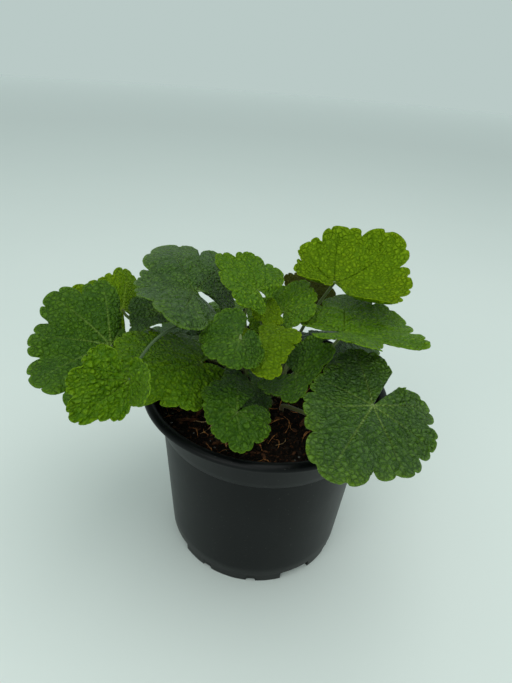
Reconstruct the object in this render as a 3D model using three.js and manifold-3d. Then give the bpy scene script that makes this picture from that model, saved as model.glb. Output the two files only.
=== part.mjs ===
// Potted fringe cups: a clump of round lobed leaves in a black nursery pot.
// Millimetres and degrees, +Z up. The origin is on the pot's axis, in the plane that the pot stands on.
// Seen with +X to the right and +Y away, the clump's showy side faces -Y.

import * as THREE from 'three';
import { mergeVertices } from 'three/addons/utils/BufferGeometryUtils.js';
import Module from 'manifold-3d';

const wasm = await Module();
wasm.setup();

// Driving dimensions of the pot
const RIM_RADIUS = 85;
const POT_HEIGHT = 130;
const LIP_WIDTH = 6;
const LIP_DEPTH = 4;
const LIP_HOLLOW = 0.9;
const COLLAR_TOP_RADIUS = 79;
const COLLAR_FOOT_RADIUS = 72.6;
const COLLAR_HEIGHT = 28;
const COLLAR_STEP = 0.8;
const BODY_TOP_RADIUS = COLLAR_FOOT_RADIUS - COLLAR_STEP;
const BODY_FOOT_RADIUS = 65.4;
const WALL = 1.6;
const FLOOR = 2.5;
const FLOOR_BEVEL = 2.5;
const BASE_RING_RADIUS = 64.2;
const BASE_RING_HEIGHT = 8;
const BASE_RING_BEVEL = 1;
const MOUTH_INSET = 0.8;
const POT_SIDES = 48;

// The lip's section, from its underside over the top: how far in from the rim, and how far down from the top
const LIP_SECTION = [
  [1.2, LIP_DEPTH + 0.4],
  [0, LIP_DEPTH - 1],
  [0.4, 1.4],
  [2, 0.2],
  [3.5, 0],
  [LIP_WIDTH, LIP_HOLLOW],
];

// Drain cut-outs round the base: every third one is wide
const DRAIN_CUTS = 12;
const DRAIN_PHASE = 212;
const WIDE_CUT = { angle: 21, height: 8 };
const NARROW_CUT = { angle: 6, height: 3 };
const DRAIN_CUT_DEPTH = 7;
const DRAIN_CUT_OVERHANG = 1.5;
const FLOOR_HOLES = { count: 4, ring: 38, radius: 5, phase: 45, sides: 16 };

// Driving dimensions of the potting mix and the crown
const CLEARANCE = 0.3;
const MIX_LEVEL = 121;
const MIX_RIPPLE = 0.78;
const MIX_MOUND = { height: 2, spread: 500 };
const MIX_RINGS = [14, 27, 40, 52, 63, 71];
const MIX_SECTORS = 36;
const BARK = {
  count: 30, nearest: 26, spread: 44, shortest: 5, longer: 9, narrowest: 1, wider: 1.6, depth: 2.4,
  lean: 10, tip: 8, wallGap: 1.5, sink: 0.2,
};
const STALK_SOCKET_DEPTH = 9;
const SOCKET_CLEARANCE = 0.75;
const CROWN_RADIUS = 6.5;
const CROWN_HEIGHT = 7;
const CROWN_DEPTH = 12;
const CROWN_SIDES = 10;
const BUD_SCALES = { count: 5, radius: 2.1, length: 8, sides: 6, lean: 12, ring: 2.2, phase: 20, lift: 0.5 };

// Cutters reach this far past what they cut
const CUTTER_REACH = 8;
const CUTTER_TOP = MIX_LEVEL + 20;

// Driving dimensions that all leaves share
const BLADE_THICKNESS = 0.7;
const STALK_RADIUS = 1.25;
const YOUNG_STALK_RADIUS = 0.9;
const STALK_SIDES = 6;
const STALK_STEPS = 8;
const STALK_NECK = 3;
const STALK_SINK = 0.2;
const SIDE_LOBES = 3;
const LOBES_PER_SIDE = 3.6;
const TEETH_PER_LOBE = 3;
const TOOTH_DEPTH = 0.06;
const LOBE_NOTCH = 0.1;
const SINUS_ROUNDING = 0.35;
const BLADE_RINGS = [0.34, 0.68, 1];
const YOUNG_LEAF_SIZE = 36;

const COLOURS = {
  pot: 0x1d2123,
  mix: 0x2a1c14,
  crown: 0x5a4326,
  dark: 0x2f5632,
  mid: 0x3f701d,
  bright: 0x4f8a14,
  lime: 0x77a51a,
  olive: 0x5d6a1e,
};

// Each leaf: at is where stalk and blade meet. heading is the compass turn of the middle lobe, from +X
// towards +Y, pitch its rise, and roll the blade's turn about it. size is the length of a lobe of 1, and
// lobes gives each lobe's length, from the right of the sinus round to the left. right and left are how
// far the blade reaches round to the sinus. droop bends the rim up, vee folds the sides up, and nod bends
// the tip up and the base down. root is where the stalk leaves the mix. The stalk meets the blade at the
// angle tuck under the blade's plane. rise and reach are how far it keeps to its first and last direction,
// as shares of its span, and sweep bows its upper part.
const LEAVES = {
  leaf_left_outer: {
    at: [-101, -22, 161], heading: 199, pitch: 21, roll: -25, size: 54,
    lobes: [0.3, 0.9, 1, 0.9, 1, 1.1, 0.9], right: 134, left: 150,
    droop: -23, nod: -11, vee: 22, colour: 'mid',
    root: [-16, -5], tuck: 45, rise: 0.3, reach: 0.6, sweep: [-3, -26, -10],
  },
  leaf_left_lower: {
    at: [-73, -73, 172], heading: 262, pitch: -70, roll: 18, size: 31,
    lobes: [0.85, 1.05, 1.2, 0.75, 0.6, 1.3, 0.5], right: 149, left: 178,
    droop: 22, nod: 27, vee: 26, colour: 'bright',
    root: [-20, -11], tuck: 20, rise: 0.55, reach: 0.45, sweep: [6, 10, 9],
  },
  leaf_left_broad: {
    at: [-42, -27, 158], heading: 231, pitch: 12, roll: -18, size: 50,
    lobes: [0.8, 0.85, 1.1, 1.25, 0.8, 0.65, 0.85], right: 175, left: 146,
    droop: -21, nod: 2, vee: -2, colour: 'bright',
    root: [-12, -2], tuck: 60, rise: 0.3, reach: 0.35, sweep: [2, 6, -8],
  },
  leaf_left_back: {
    at: [-107, 23, 164], heading: 145, pitch: 39, roll: -2, size: 37,
    lobes: [0.5, 0.7, 1.15, 0.8, 1.05, 1.15, 0.85], right: 149, left: 158,
    droop: -15, nod: 6, vee: -11, colour: 'lime',
    root: [-23, 4], tuck: 35, rise: 0.3, reach: 0.15, sweep: [0, -2, -2],
  },
  leaf_left_shaded: {
    at: [-78, 15, 168], heading: 198, pitch: -17, roll: -8, size: 27,
    lobes: [0.8, 0.95, 1, 0.8, 1.05, 0.8, 0.95], right: 173, left: 166,
    droop: -2, nod: 6, vee: 17, colour: 'dark',
    root: [-15, 7], tuck: 40, rise: 0.4, reach: 0.4, sweep: [10, -4, -3],
  },
  leaf_top_left: {
    at: [-53, 7, 190], heading: 173, pitch: 20, roll: 1, size: 53,
    lobes: [0.6, 1.1, 1.2, 0.75, 0.75, 1.15, 0.5], right: 172, left: 172,
    droop: -28, nod: -7, vee: 22, colour: 'dark',
    root: [-10, 5], tuck: 55, rise: 0.4, reach: 0.35, sweep: [-5, -5, -4],
  },
  leaf_top_middle: {
    at: [-11, 11, 194], heading: 161, pitch: 30, roll: -6, size: 29,
    lobes: [0.4, 1.15, 1.15, 1.25, 0.95, 0.85, 0.7], right: 167, left: 151,
    droop: -12, nod: 11, vee: 7, colour: 'bright',
    root: [-5, 18], tuck: 85, rise: 0.25, reach: 0.25, sweep: [-13, -10, -7],
  },
  leaf_middle: {
    at: [-17, -43, 186], heading: 261, pitch: -14, roll: -15, size: 25,
    lobes: [1.15, 1.05, 0.9, 0.9, 0.75, 0.75, 0.6], right: 178, left: 167,
    droop: -2, nod: -3, vee: -24, colour: 'mid',
    root: [-13, -12], tuck: 5, rise: 0.55, reach: 0.8, sweep: [-11, 5, 2],
  },
  leaf_young_pleated: {
    at: [-7, -21, 175], heading: 285, pitch: -3, roll: 2, size: 28,
    lobes: [0.75, 0.8, 0.9, 1.25, 0.8, 1, 0.8], right: 164, left: 170,
    droop: -11, nod: -6, vee: 6, colour: 'lime',
    root: [5, -8], tuck: 60, rise: 0.3, reach: 0.3, sweep: [-4, 0, 8],
  },
  leaf_young_small: {
    at: [-5, 15, 179], heading: 284, pitch: -25, roll: -11, size: 14,
    lobes: [0.8, 0.8, 0.9, 1.05, 1.1, 0.8, 0.9], right: 170, left: 165,
    droop: -4, nod: 2, vee: -1, colour: 'lime',
    root: [2, 10], tuck: 45, rise: 0.5, reach: 0.2, sweep: [-8, -4, 7],
  },
  leaf_back_middle: {
    at: [8, 30, 171], heading: 65, pitch: 32, roll: -14, size: 29,
    lobes: [0.7, 0.95, 0.9, 1.1, 0.85, 0.85, 0.95], right: 165, left: 165,
    droop: -3, nod: -3, vee: 10, colour: 'bright',
    root: [0, 14], tuck: 45, rise: 0.45, reach: 0.35, sweep: [0, 9, -5],
  },
  leaf_top_right: {
    at: [42, 44, 191], heading: 89, pitch: 8, roll: 5, size: 52,
    lobes: [1, 1.05, 1.35, 1, 0.75, 0.6, 0.3], right: 163, left: 159,
    droop: 44, nod: 7, vee: -12, colour: 'lime',
    root: [12, 4], tuck: 110, rise: 0.4, reach: 0.6, sweep: [-11, 7, -4],
  },
  leaf_right_folded: {
    at: [47, -3, 176], heading: -9, pitch: 9, roll: -10, size: 54,
    lobes: [0.65, 1.15, 0.6, 1, 1, 1.15, 0.7], right: 134, left: 168,
    droop: -8, nod: -10, vee: 15, colour: 'bright',
    root: [14, 0], tuck: 55, rise: 0.35, reach: 0.4, sweep: [-4, -1, -9],
  },
  leaf_front_right: {
    at: [60, -63, 164], heading: 243, pitch: -3, roll: -11, size: 50,
    lobes: [1.1, 0.75, 0.8, 1.25, 0.9, 0.8, 0.8], right: 178.5, left: 164.5,
    droop: -4, nod: 1, vee: -8, colour: 'dark',
    root: [12, -20], tuck: 60, rise: 0.1, reach: 0.45, sweep: [-9, -5, -13],
  },
  leaf_front: {
    at: [-15, -66, 152], heading: 241, pitch: -11, roll: -18, size: 26,
    lobes: [1.3, 1, 0.7, 0.7, 0.9, 0.85, 0.85], right: 178, left: 164,
    droop: -38, nod: -1, vee: 12, colour: 'mid',
    root: [-5, -21], tuck: 70, rise: 0.2, reach: 0.6, sweep: [7, -18, -6],
  },
  leaf_front_shaded: {
    at: [-9, -25, 144], heading: 312, pitch: -32, roll: -21, size: 26,
    lobes: [0.8, 1.05, 0.85, 1, 0.75, 0.7, 0.55], right: 164, left: 159,
    droop: -19, nod: 0, vee: 3, colour: 'dark',
    root: [5, -16], tuck: 45, rise: 0.2, reach: 0.6, sweep: [-5, 0, 9],
  },
  leaf_right_inner: {
    at: [18, -27, 156], heading: 313, pitch: 19, roll: 29, size: 32,
    lobes: [0.8, 0.75, 1, 0.55, 0.95, 0.9, 0.85], right: 162, left: 159,
    droop: 10, nod: 2, vee: 11, colour: 'mid',
    root: [10, -8], tuck: 50, rise: 0.45, reach: 0.25, sweep: [7, -1, 0],
  },
  leaf_rear_olive: {
    at: [28, 73, 166], heading: 74, pitch: 21, roll: 30, size: 25,
    lobes: [0.75, 1.05, 1, 1.05, 0.85, 1.05, 0.7], right: 162, left: 167,
    droop: -9, nod: 6, vee: 12, colour: 'olive',
    root: [11, 14], tuck: 60, rise: 0.45, reach: 0.35, sweep: [-6, -2, 0],
  },
  leaf_rear_left: {
    at: [-66, 29, 140], heading: 148, pitch: -8, roll: -4, size: 50,
    lobes: [0.8, 0.9, 1.05, 0.95, 0.95, 0.9, 0.9], right: 160, left: 164,
    droop: -17, nod: 5, vee: 0, colour: 'mid',
    root: [-15, 17], tuck: 55, rise: 0.15, reach: 0.35, sweep: [5, -4, -3],
  },
  leaf_rear_middle: {
    at: [-22, 63, 155], heading: 89, pitch: -9, roll: 6, size: 42,
    lobes: [0.75, 0.9, 0.9, 1.05, 0.9, 0.85, 0.9], right: 166, left: 168,
    droop: -25, nod: 2, vee: -2, colour: 'bright',
    root: [-8, 14], tuck: 100, rise: 0.35, reach: 0.35, sweep: [-6, 1, 0],
  },
  leaf_rear_right: {
    at: [56, 45, 145], heading: 42, pitch: -10, roll: 4, size: 42,
    lobes: [0.95, 0.95, 0.75, 1.05, 1, 0.7, 0.9], right: 166, left: 164,
    droop: -19, nod: 2, vee: -7, colour: 'dark',
    root: [11, 9], tuck: 45, rise: 0.35, reach: 0.35, sweep: [-10, 4, -3],
  },
};

// Solids: closed meshes are joined and cut as solids, and come back as geometries.
function solidOf(geometry) {
  const bare = geometry.clone();
  for (const name of Object.keys(bare.attributes)) {
    if (name !== 'position') bare.deleteAttribute(name);
  }
  const merged = mergeVertices(bare, 1e-4);
  const vertProperties = Float32Array.from(merged.attributes.position.array);
  const triVerts = Uint32Array.from(merged.index.array);
  const mesh = new wasm.Mesh({ numProp: 3, vertProperties, triVerts });
  mesh.merge();
  return new wasm.Manifold(mesh);
}

function geometryOf(solid) {
  const mesh = solid.getMesh();
  const geometry = new THREE.BufferGeometry();
  geometry.setAttribute('position', new THREE.BufferAttribute(mesh.vertProperties, 3));
  geometry.setIndex(new THREE.BufferAttribute(mesh.triVerts, 1));
  geometry.computeVertexNormals();
  return geometry;
}

function joined(solids) {
  return solids.reduce((whole, part) => whole.add(part));
}

function without(solid, cutters) {
  return cutters.reduce((rest, cutter) => rest.subtract(cutter), solid);
}

// A seeded draw from 0 to 1
function dice(seed) {
  let state = seed;
  return () => {
    state = (state + 0x6d2b79f5) | 0;
    let t = Math.imul(state ^ (state >>> 15), 1 | state);
    t = (t + Math.imul(t ^ (t >>> 7), 61 | t)) ^ t;
    return ((t ^ (t >>> 14)) >>> 0) / 4294967296;
  };
}

const rad = THREE.MathUtils.degToRad;

// A turned solid about Z, from a profile of [radius, height] points that runs from axis to axis
function turned(profile, sides) {
  const points = profile.map(([radius, height]) => new THREE.Vector2(radius, height));
  const geometry = new THREE.LatheGeometry(points, sides);
  geometry.rotateX(Math.PI / 2);
  return solidOf(geometry);
}

function boxAt(size, position, turn) {
  const geometry = new THREE.BoxGeometry(...size);
  geometry.applyMatrix4(new THREE.Matrix4().makeRotationFromEuler(turn));
  geometry.translate(...position);
  return solidOf(geometry);
}

function uprightRod(radius, bottom, top, x, y, sides) {
  const geometry = new THREE.CylinderGeometry(radius, radius, top - bottom, sides);
  geometry.rotateX(Math.PI / 2);
  geometry.translate(x, y, (top + bottom) / 2);
  return solidOf(geometry);
}

// The pot

const COLLAR_FOOT = POT_HEIGHT - COLLAR_HEIGHT;

function outerProfile() {
  return [
    [0, 0],
    [BASE_RING_RADIUS - BASE_RING_BEVEL, 0],
    [BASE_RING_RADIUS, BASE_RING_BEVEL],
    [BASE_RING_RADIUS, BASE_RING_HEIGHT],
    [BODY_FOOT_RADIUS, BASE_RING_HEIGHT],
    [(BODY_FOOT_RADIUS + BODY_TOP_RADIUS) / 2, (BASE_RING_HEIGHT + COLLAR_FOOT) / 2],
    [BODY_TOP_RADIUS, COLLAR_FOOT - COLLAR_STEP],
    [COLLAR_FOOT_RADIUS, COLLAR_FOOT],
    [COLLAR_TOP_RADIUS, POT_HEIGHT - LIP_DEPTH],
    ...LIP_SECTION.map(([inward, down]) => [RIM_RADIUS - inward, POT_HEIGHT - down]),
    [0, POT_HEIGHT - LIP_HOLLOW],
  ];
}

// The inside of the wall at a height: it follows the collar above and the body below
function innerRadius(height) {
  if (height > COLLAR_FOOT) {
    const t = (height - COLLAR_FOOT) / (POT_HEIGHT - LIP_DEPTH - COLLAR_FOOT);
    return COLLAR_FOOT_RADIUS + t * (COLLAR_TOP_RADIUS - COLLAR_FOOT_RADIUS) - WALL;
  }
  const t = (height - BASE_RING_HEIGHT) / (COLLAR_FOOT - BASE_RING_HEIGHT);
  return BODY_FOOT_RADIUS + t * (BODY_TOP_RADIUS - BODY_FOOT_RADIUS) - WALL;
}

// The inside of the pot up into the collar, drawn in by a gap
function hollowProfile(gap) {
  const foot = innerRadius(BASE_RING_HEIGHT) - gap;
  return [
    [0, FLOOR + gap],
    [foot - FLOOR_BEVEL, FLOOR + gap],
    [foot, FLOOR + gap + FLOOR_BEVEL],
    [innerRadius(COLLAR_FOOT - 1) - gap, COLLAR_FOOT - 1],
    [innerRadius(COLLAR_FOOT + 1) - gap, COLLAR_FOOT + 1],
  ];
}

function drainCutters() {
  const cutters = [];
  for (let i = 0; i < DRAIN_CUTS; i += 1) {
    const cut = i % 3 === 0 ? WIDE_CUT : NARROW_CUT;
    const turn = rad(DRAIN_PHASE + (i * 360) / DRAIN_CUTS);
    const width = 2 * BODY_FOOT_RADIUS * Math.sin(rad(cut.angle / 2));
    const reach = BODY_FOOT_RADIUS - DRAIN_CUT_DEPTH / 2 + DRAIN_CUT_OVERHANG;
    cutters.push(boxAt(
      [DRAIN_CUT_DEPTH, width, 2 * cut.height],
      [reach * Math.cos(turn), reach * Math.sin(turn), 0],
      new THREE.Euler(0, 0, turn),
    ));
  }
  for (let i = 0; i < FLOOR_HOLES.count; i += 1) {
    const turn = rad(FLOOR_HOLES.phase + (i * 360) / FLOOR_HOLES.count);
    const x = FLOOR_HOLES.ring * Math.cos(turn);
    const y = FLOOR_HOLES.ring * Math.sin(turn);
    const { radius, sides } = FLOOR_HOLES;
    cutters.push(uprightRod(radius, -CUTTER_REACH, FLOOR + CUTTER_REACH, x, y, sides));
  }
  return cutters;
}

function nurseryPot() {
  const mouth = RIM_RADIUS - LIP_WIDTH - MOUTH_INSET;
  const hollow = turned([
    ...hollowProfile(0),
    [mouth, POT_HEIGHT - LIP_DEPTH],
    [mouth, POT_HEIGHT + CUTTER_REACH],
    [0, POT_HEIGHT + CUTTER_REACH],
  ], POT_SIDES);
  const shell = turned(outerProfile(), POT_SIDES).subtract(hollow);
  return without(shell, drainCutters());
}

// The potting mix

// The uneven top of the mix: two waves of different length, and a low mound round the crown
function mixHeight(x, y) {
  const ripple = Math.sin(x * 0.31 + 1.3) * Math.cos(y * 0.27 - 0.4);
  const crumb = 0.6 * Math.sin(x * 0.83 - y * 0.57);
  const mound = MIX_MOUND.height * Math.exp(-(x * x + y * y) / MIX_MOUND.spread);
  return MIX_LEVEL + mound + MIX_RIPPLE * (ripple + crumb);
}

// The mix fills the pot, and the air over its uneven top is cut away from it
function mixBody() {
  const edge = innerRadius(MIX_LEVEL) - CLEARANCE;
  const body = turned([
    ...hollowProfile(CLEARANCE),
    [edge, MIX_LEVEL + CUTTER_REACH],
    [0, MIX_LEVEL + CUTTER_REACH],
  ], POT_SIDES);
  const airRadius = edge + CUTTER_REACH;
  const radii = [...MIX_RINGS, airRadius];
  const positions = [0, 0, mixHeight(0, 0)];
  const faces = [];
  for (const radius of radii) {
    for (let k = 0; k < MIX_SECTORS; k += 1) {
      const turn = rad((k * 360) / MIX_SECTORS);
      const x = radius * Math.cos(turn);
      const y = radius * Math.sin(turn);
      positions.push(x, y, mixHeight(x, y));
    }
  }
  const rim = 1 + (radii.length - 1) * MIX_SECTORS;
  const lid = positions.length / 3;
  for (let k = 0; k < MIX_SECTORS; k += 1) {
    const turn = rad((k * 360) / MIX_SECTORS);
    positions.push(airRadius * Math.cos(turn), airRadius * Math.sin(turn), CUTTER_TOP);
  }
  positions.push(0, 0, CUTTER_TOP);
  for (let k = 0; k < MIX_SECTORS; k += 1) {
    const next = (k + 1) % MIX_SECTORS;
    faces.push(0, 1 + next, 1 + k);
    for (let ring = 0; ring < radii.length - 1; ring += 1) {
      const a = 1 + ring * MIX_SECTORS;
      const b = a + MIX_SECTORS;
      faces.push(a + k, a + next, b + k, a + next, b + next, b + k);
    }
    faces.push(rim + k, rim + next, lid + k, rim + next, lid + next, lid + k);
    faces.push(lid + k, lid + next, lid + MIX_SECTORS);
  }
  const air = new THREE.BufferGeometry();
  air.setAttribute('position', new THREE.Float32BufferAttribute(positions, 3));
  air.setIndex(faces);
  return body.subtract(solidOf(air));
}

// Flat strips of bark, scattered away from the crown and half sunk in the mix
function barkPieces() {
  const draw = dice(41);
  const pieces = [];
  for (let i = 0; i < BARK.count; i += 1) {
    const reach = BARK.nearest + BARK.spread * Math.sqrt(draw());
    const turn = 2 * Math.PI * draw();
    const x = reach * Math.cos(turn);
    const y = reach * Math.sin(turn);
    const length = BARK.shortest + BARK.longer * draw();
    const width = BARK.narrowest + BARK.wider * draw();
    const lean = rad(BARK.lean * (2 * draw() - 1));
    const tip = rad(BARK.tip * (2 * draw() - 1));
    const tilt = new THREE.Euler(lean, tip, 2 * Math.PI * draw());
    if (reach + length / 2 > innerRadius(MIX_LEVEL) - BARK.wallGap) continue;
    pieces.push(boxAt([length, width, BARK.depth], [x, y, mixHeight(x, y) - BARK.sink], tilt));
  }
  return pieces;
}

function stalkSockets() {
  return Object.values(LEAVES).map((leaf) => {
    const radius = stalkRadius(leaf) + SOCKET_CLEARANCE;
    const [x, y] = leaf.root;
    return uprightRod(radius, MIX_LEVEL - STALK_SOCKET_DEPTH - CLEARANCE, CUTTER_TOP, x, y, 8);
  });
}

function pottingMix() {
  const crownSocket = uprightRod(
    CROWN_RADIUS + SOCKET_CLEARANCE, MIX_LEVEL - CROWN_DEPTH - CLEARANCE, CUTTER_TOP, 0, 0, CROWN_SIDES,
  );
  const raised = joined([mixBody(), ...barkPieces()]);
  return without(raised, [crownSocket, ...stalkSockets()]);
}

// The crown

function crown() {
  const top = MIX_LEVEL + CROWN_HEIGHT;
  const stock = turned([
    [0, MIX_LEVEL - CROWN_DEPTH],
    [CROWN_RADIUS * 0.8, MIX_LEVEL - CROWN_DEPTH],
    [CROWN_RADIUS - 0.2, MIX_LEVEL],
    [CROWN_RADIUS - 0.6, MIX_LEVEL + 3],
    [CROWN_RADIUS * 0.55, top - 1],
    [0, top],
  ], CROWN_SIDES);
  const scales = [];
  for (let i = 0; i < BUD_SCALES.count; i += 1) {
    const turn = rad(BUD_SCALES.phase + (i * 360) / BUD_SCALES.count);
    const scale = new THREE.ConeGeometry(BUD_SCALES.radius, BUD_SCALES.length, BUD_SCALES.sides);
    scale.rotateX(Math.PI / 2);
    scale.rotateY(rad(BUD_SCALES.lean));
    scale.translate(BUD_SCALES.ring, 0, top + BUD_SCALES.lift);
    scale.rotateZ(turn);
    scales.push(solidOf(scale));
  }
  return joined([stock, ...scales]);
}

// Leaves

function stalkRadius(leaf) {
  return leaf.size < YOUNG_LEAF_SIZE ? YOUNG_STALK_RADIUS : STALK_RADIUS;
}

// The margin's distance from the junction. place counts lobes from the middle one, + to the left.
function marginRadius(leaf, place, tooth) {
  const low = THREE.MathUtils.clamp(Math.floor(place), -SIDE_LOBES, SIDE_LOBES - 1);
  const part = THREE.MathUtils.clamp(place - low, 0, 1);
  const ease = (1 - Math.cos(Math.PI * part)) / 2;
  const lobe = leaf.lobes[low + SIDE_LOBES] * (1 - ease) + leaf.lobes[low + SIDE_LOBES + 1] * ease;
  const beyond = Math.max(0, Math.abs(place) - SIDE_LOBES) / (LOBES_PER_SIDE - SIDE_LOBES);
  const fromMiddle = Math.min(0.5, Math.abs(place - Math.round(place)));
  const notch = beyond > 0
    ? 1 - SINUS_ROUNDING * Math.min(1, beyond) ** 2
    : 1 - LOBE_NOTCH * (2 * fromMiddle) ** 2.5;
  return leaf.size * lobe * notch * (1 - tooth);
}

// The blade's own axes: along the middle lobe, to its left, and out of the upper face
function bladeAxes(leaf) {
  const turn = rad(leaf.heading);
  const rise = rad(leaf.pitch);
  const roll = rad(leaf.roll);
  const along = new THREE.Vector3(
    Math.cos(turn) * Math.cos(rise), Math.sin(turn) * Math.cos(rise), Math.sin(rise),
  );
  const level = new THREE.Vector3(-Math.sin(turn), Math.cos(turn), 0);
  const lifted = new THREE.Vector3().crossVectors(along, level);
  const left = level.multiplyScalar(Math.cos(roll)).addScaledVector(lifted, Math.sin(roll));
  const up = new THREE.Vector3().crossVectors(along, left);
  return { along, left, up };
}

function bladePoint(leaf, axes, place, reach, tooth) {
  const span = place > 0 ? leaf.left : leaf.right;
  const turn = rad((place / LOBES_PER_SIDE) * span);
  const radius = marginRadius(leaf, place, tooth) * reach;
  const rim = leaf.droop + leaf.nod * Math.cos(turn);
  const fold = (leaf.vee * (1 - Math.cos(2 * turn))) / 2;
  const bend = rad(fold + (rim * reach) / 2);
  const flat = radius * Math.cos(bend);
  return new THREE.Vector3(...leaf.at)
    .addScaledVector(axes.along, flat * Math.cos(turn))
    .addScaledVector(axes.left, flat * Math.sin(turn))
    .addScaledVector(axes.up, radius * Math.sin(bend));
}

// Places round the margin, each with how deep its tooth is cut there
function marginPlaces(leaf) {
  const perTooth = leaf.size < YOUNG_LEAF_SIZE ? 2 : 3;
  const count = 2 * (SIDE_LOBES + 0.5) * TEETH_PER_LOBE * perTooth;
  const places = [{ place: -LOBES_PER_SIDE, tooth: 0 }];
  for (let i = 0; i <= count; i += 1) {
    const place = -SIDE_LOBES - 0.5 + i / (TEETH_PER_LOBE * perTooth);
    places.push({ place, tooth: i % perTooth === 0 ? TOOTH_DEPTH : 0 });
  }
  places.push({ place: LOBES_PER_SIDE, tooth: 0 });
  return places;
}

// Inner rings take every second or third place, with both edges of the sinus kept
function thinned(places, step) {
  return places.filter((_, i) => i === 0 || i === places.length - 1 || i % step === 1);
}

// Triangles between two rows of points that start and end on the same two edges
function bridge(inner, outer, faces) {
  let i = 0;
  let k = 0;
  while (i < inner.length - 1 || k < outer.length - 1) {
    const innerNext = i < inner.length - 1 ? inner[i + 1].place : Infinity;
    const outerNext = k < outer.length - 1 ? outer[k + 1].place : Infinity;
    if (outerNext <= innerNext) {
      faces.push(inner[i].index, outer[k].index, outer[k + 1].index);
      k += 1;
    } else {
      faces.push(inner[i].index, outer[k].index, inner[i + 1].index);
      i += 1;
    }
  }
}

function bladeGrid(leaf) {
  const axes = bladeAxes(leaf);
  const margin = marginPlaces(leaf);
  const rings = [thinned(margin, 4), thinned(margin, 2), margin];
  const points = [new THREE.Vector3(...leaf.at)];
  const faces = [];
  const rows = rings.map((ring, level) => ring.map(({ place, tooth }) => {
    const reach = BLADE_RINGS[level];
    points.push(bladePoint(leaf, axes, place, reach, level === rings.length - 1 ? tooth : 0));
    return { place, index: points.length - 1 };
  }));
  for (let k = 0; k < rows[0].length - 1; k += 1) {
    faces.push(0, rows[0][k].index, rows[0][k + 1].index);
  }
  bridge(rows[0], rows[1], faces);
  bridge(rows[1], rows[2], faces);
  const edge = [
    0,
    rows[0][0].index,
    rows[1][0].index,
    ...rows[2].map(({ index }) => index),
    rows[1].at(-1).index,
    rows[0].at(-1).index,
  ];
  return { points, faces, edge, axes };
}

function pointNormals(points, faces) {
  const normals = points.map(() => new THREE.Vector3());
  for (let f = 0; f < faces.length; f += 3) {
    const [a, b, c] = [faces[f], faces[f + 1], faces[f + 2]];
    const side = new THREE.Vector3().subVectors(points[b], points[a]);
    const other = new THREE.Vector3().subVectors(points[c], points[a]);
    side.cross(other);
    for (const corner of [a, b, c]) normals[corner].add(side);
  }
  return normals.map((normal) => normal.normalize());
}

// The blade: both faces have the same triangles, half the thickness out from the middle surface
function blade(leaf) {
  const { points, faces, edge, axes } = bladeGrid(leaf);
  const normals = pointNormals(points, faces);
  const half = BLADE_THICKNESS / 2;
  const positions = [];
  for (const side of [half, -half]) {
    points.forEach((point, i) => {
      const shifted = point.clone().addScaledVector(normals[i], side);
      positions.push(shifted.x, shifted.y, shifted.z);
    });
  }
  const under = points.length;
  const shell = [...faces];
  for (let f = 0; f < faces.length; f += 3) {
    shell.push(faces[f] + under, faces[f + 2] + under, faces[f + 1] + under);
  }
  edge.forEach((here, i) => {
    const next = edge[(i + 1) % edge.length];
    shell.push(here, here + under, next + under, here, next + under, next);
  });
  const geometry = new THREE.BufferGeometry();
  geometry.setAttribute('position', new THREE.Float32BufferAttribute(positions, 3));
  geometry.setIndex(shell);
  return { solid: solidOf(geometry), axes };
}

// The stalk's line: straight up out of its socket, then over to the blade, which it meets from below
function stalkLine(leaf, axes) {
  const [x, y] = leaf.root;
  const foot = new THREE.Vector3(x, y, MIX_LEVEL - STALK_SOCKET_DEPTH);
  const neck = new THREE.Vector3(x, y, MIX_LEVEL + STALK_NECK);
  const end = new THREE.Vector3(...leaf.at).addScaledVector(axes.up, -STALK_SINK);
  const span = end.distanceTo(neck);
  const tuck = rad(leaf.tuck);
  const arrive = axes.along.clone().multiplyScalar(-Math.cos(tuck)).addScaledVector(axes.up, -Math.sin(tuck));
  const sweep = new THREE.Vector3(...leaf.sweep);
  const line = new THREE.CurvePath();
  line.add(new THREE.LineCurve3(foot, neck));
  line.add(new THREE.CubicBezierCurve3(
    neck,
    neck.clone().add(new THREE.Vector3(0, 0, span * leaf.rise)),
    end.clone().addScaledVector(arrive, span * leaf.reach).add(sweep),
    end,
  ));
  return line;
}

function stalk(leaf, axes) {
  const radius = stalkRadius(leaf);
  const corners = [];
  for (let i = 0; i < STALK_SIDES; i += 1) {
    const turn = (2 * Math.PI * i) / STALK_SIDES;
    corners.push(new THREE.Vector2(radius * Math.cos(turn), radius * Math.sin(turn)));
  }
  const section = new THREE.Shape(corners);
  const tube = new THREE.ExtrudeGeometry(section, {
    steps: STALK_STEPS,
    extrudePath: stalkLine(leaf, axes),
    bevelEnabled: false,
  });
  return solidOf(tube);
}

function leafSolid(leaf) {
  const { solid, axes } = blade(leaf);
  return solid.add(stalk(leaf, axes));
}

// The scene graph

function named(name, solid, colour, roughness) {
  const material = new THREE.MeshStandardMaterial({ color: colour, roughness, metalness: 0 });
  const mesh = new THREE.Mesh(geometryOf(solid), material);
  mesh.name = name;
  return mesh;
}

const plant = new THREE.Group();
plant.add(named('crown', crown(), COLOURS.crown, 0.85));
for (const [name, leaf] of Object.entries(LEAVES)) {
  plant.add(named(name, leafSolid(leaf), COLOURS[leaf.colour], 0.6));
}

const pottedFringeCups = new THREE.Group();
pottedFringeCups.add(named('nursery_pot', nurseryPot(), COLOURS.pot, 0.45));
pottedFringeCups.add(named('potting_mix', pottingMix(), COLOURS.mix, 0.95));
pottedFringeCups.add(plant);

export default pottedFringeCups;
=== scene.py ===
"""Potted fringe cups: a clump of round, lobed, hairy leaves in a black nursery pot.

Metres, +Z up. The origin is on the pot's axis, in the plane that the pot stands on. Seen with +X to the
right and +Y away, the clump's showy side faces -Y. Sizes are written in millimetres times MM.
"""

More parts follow.
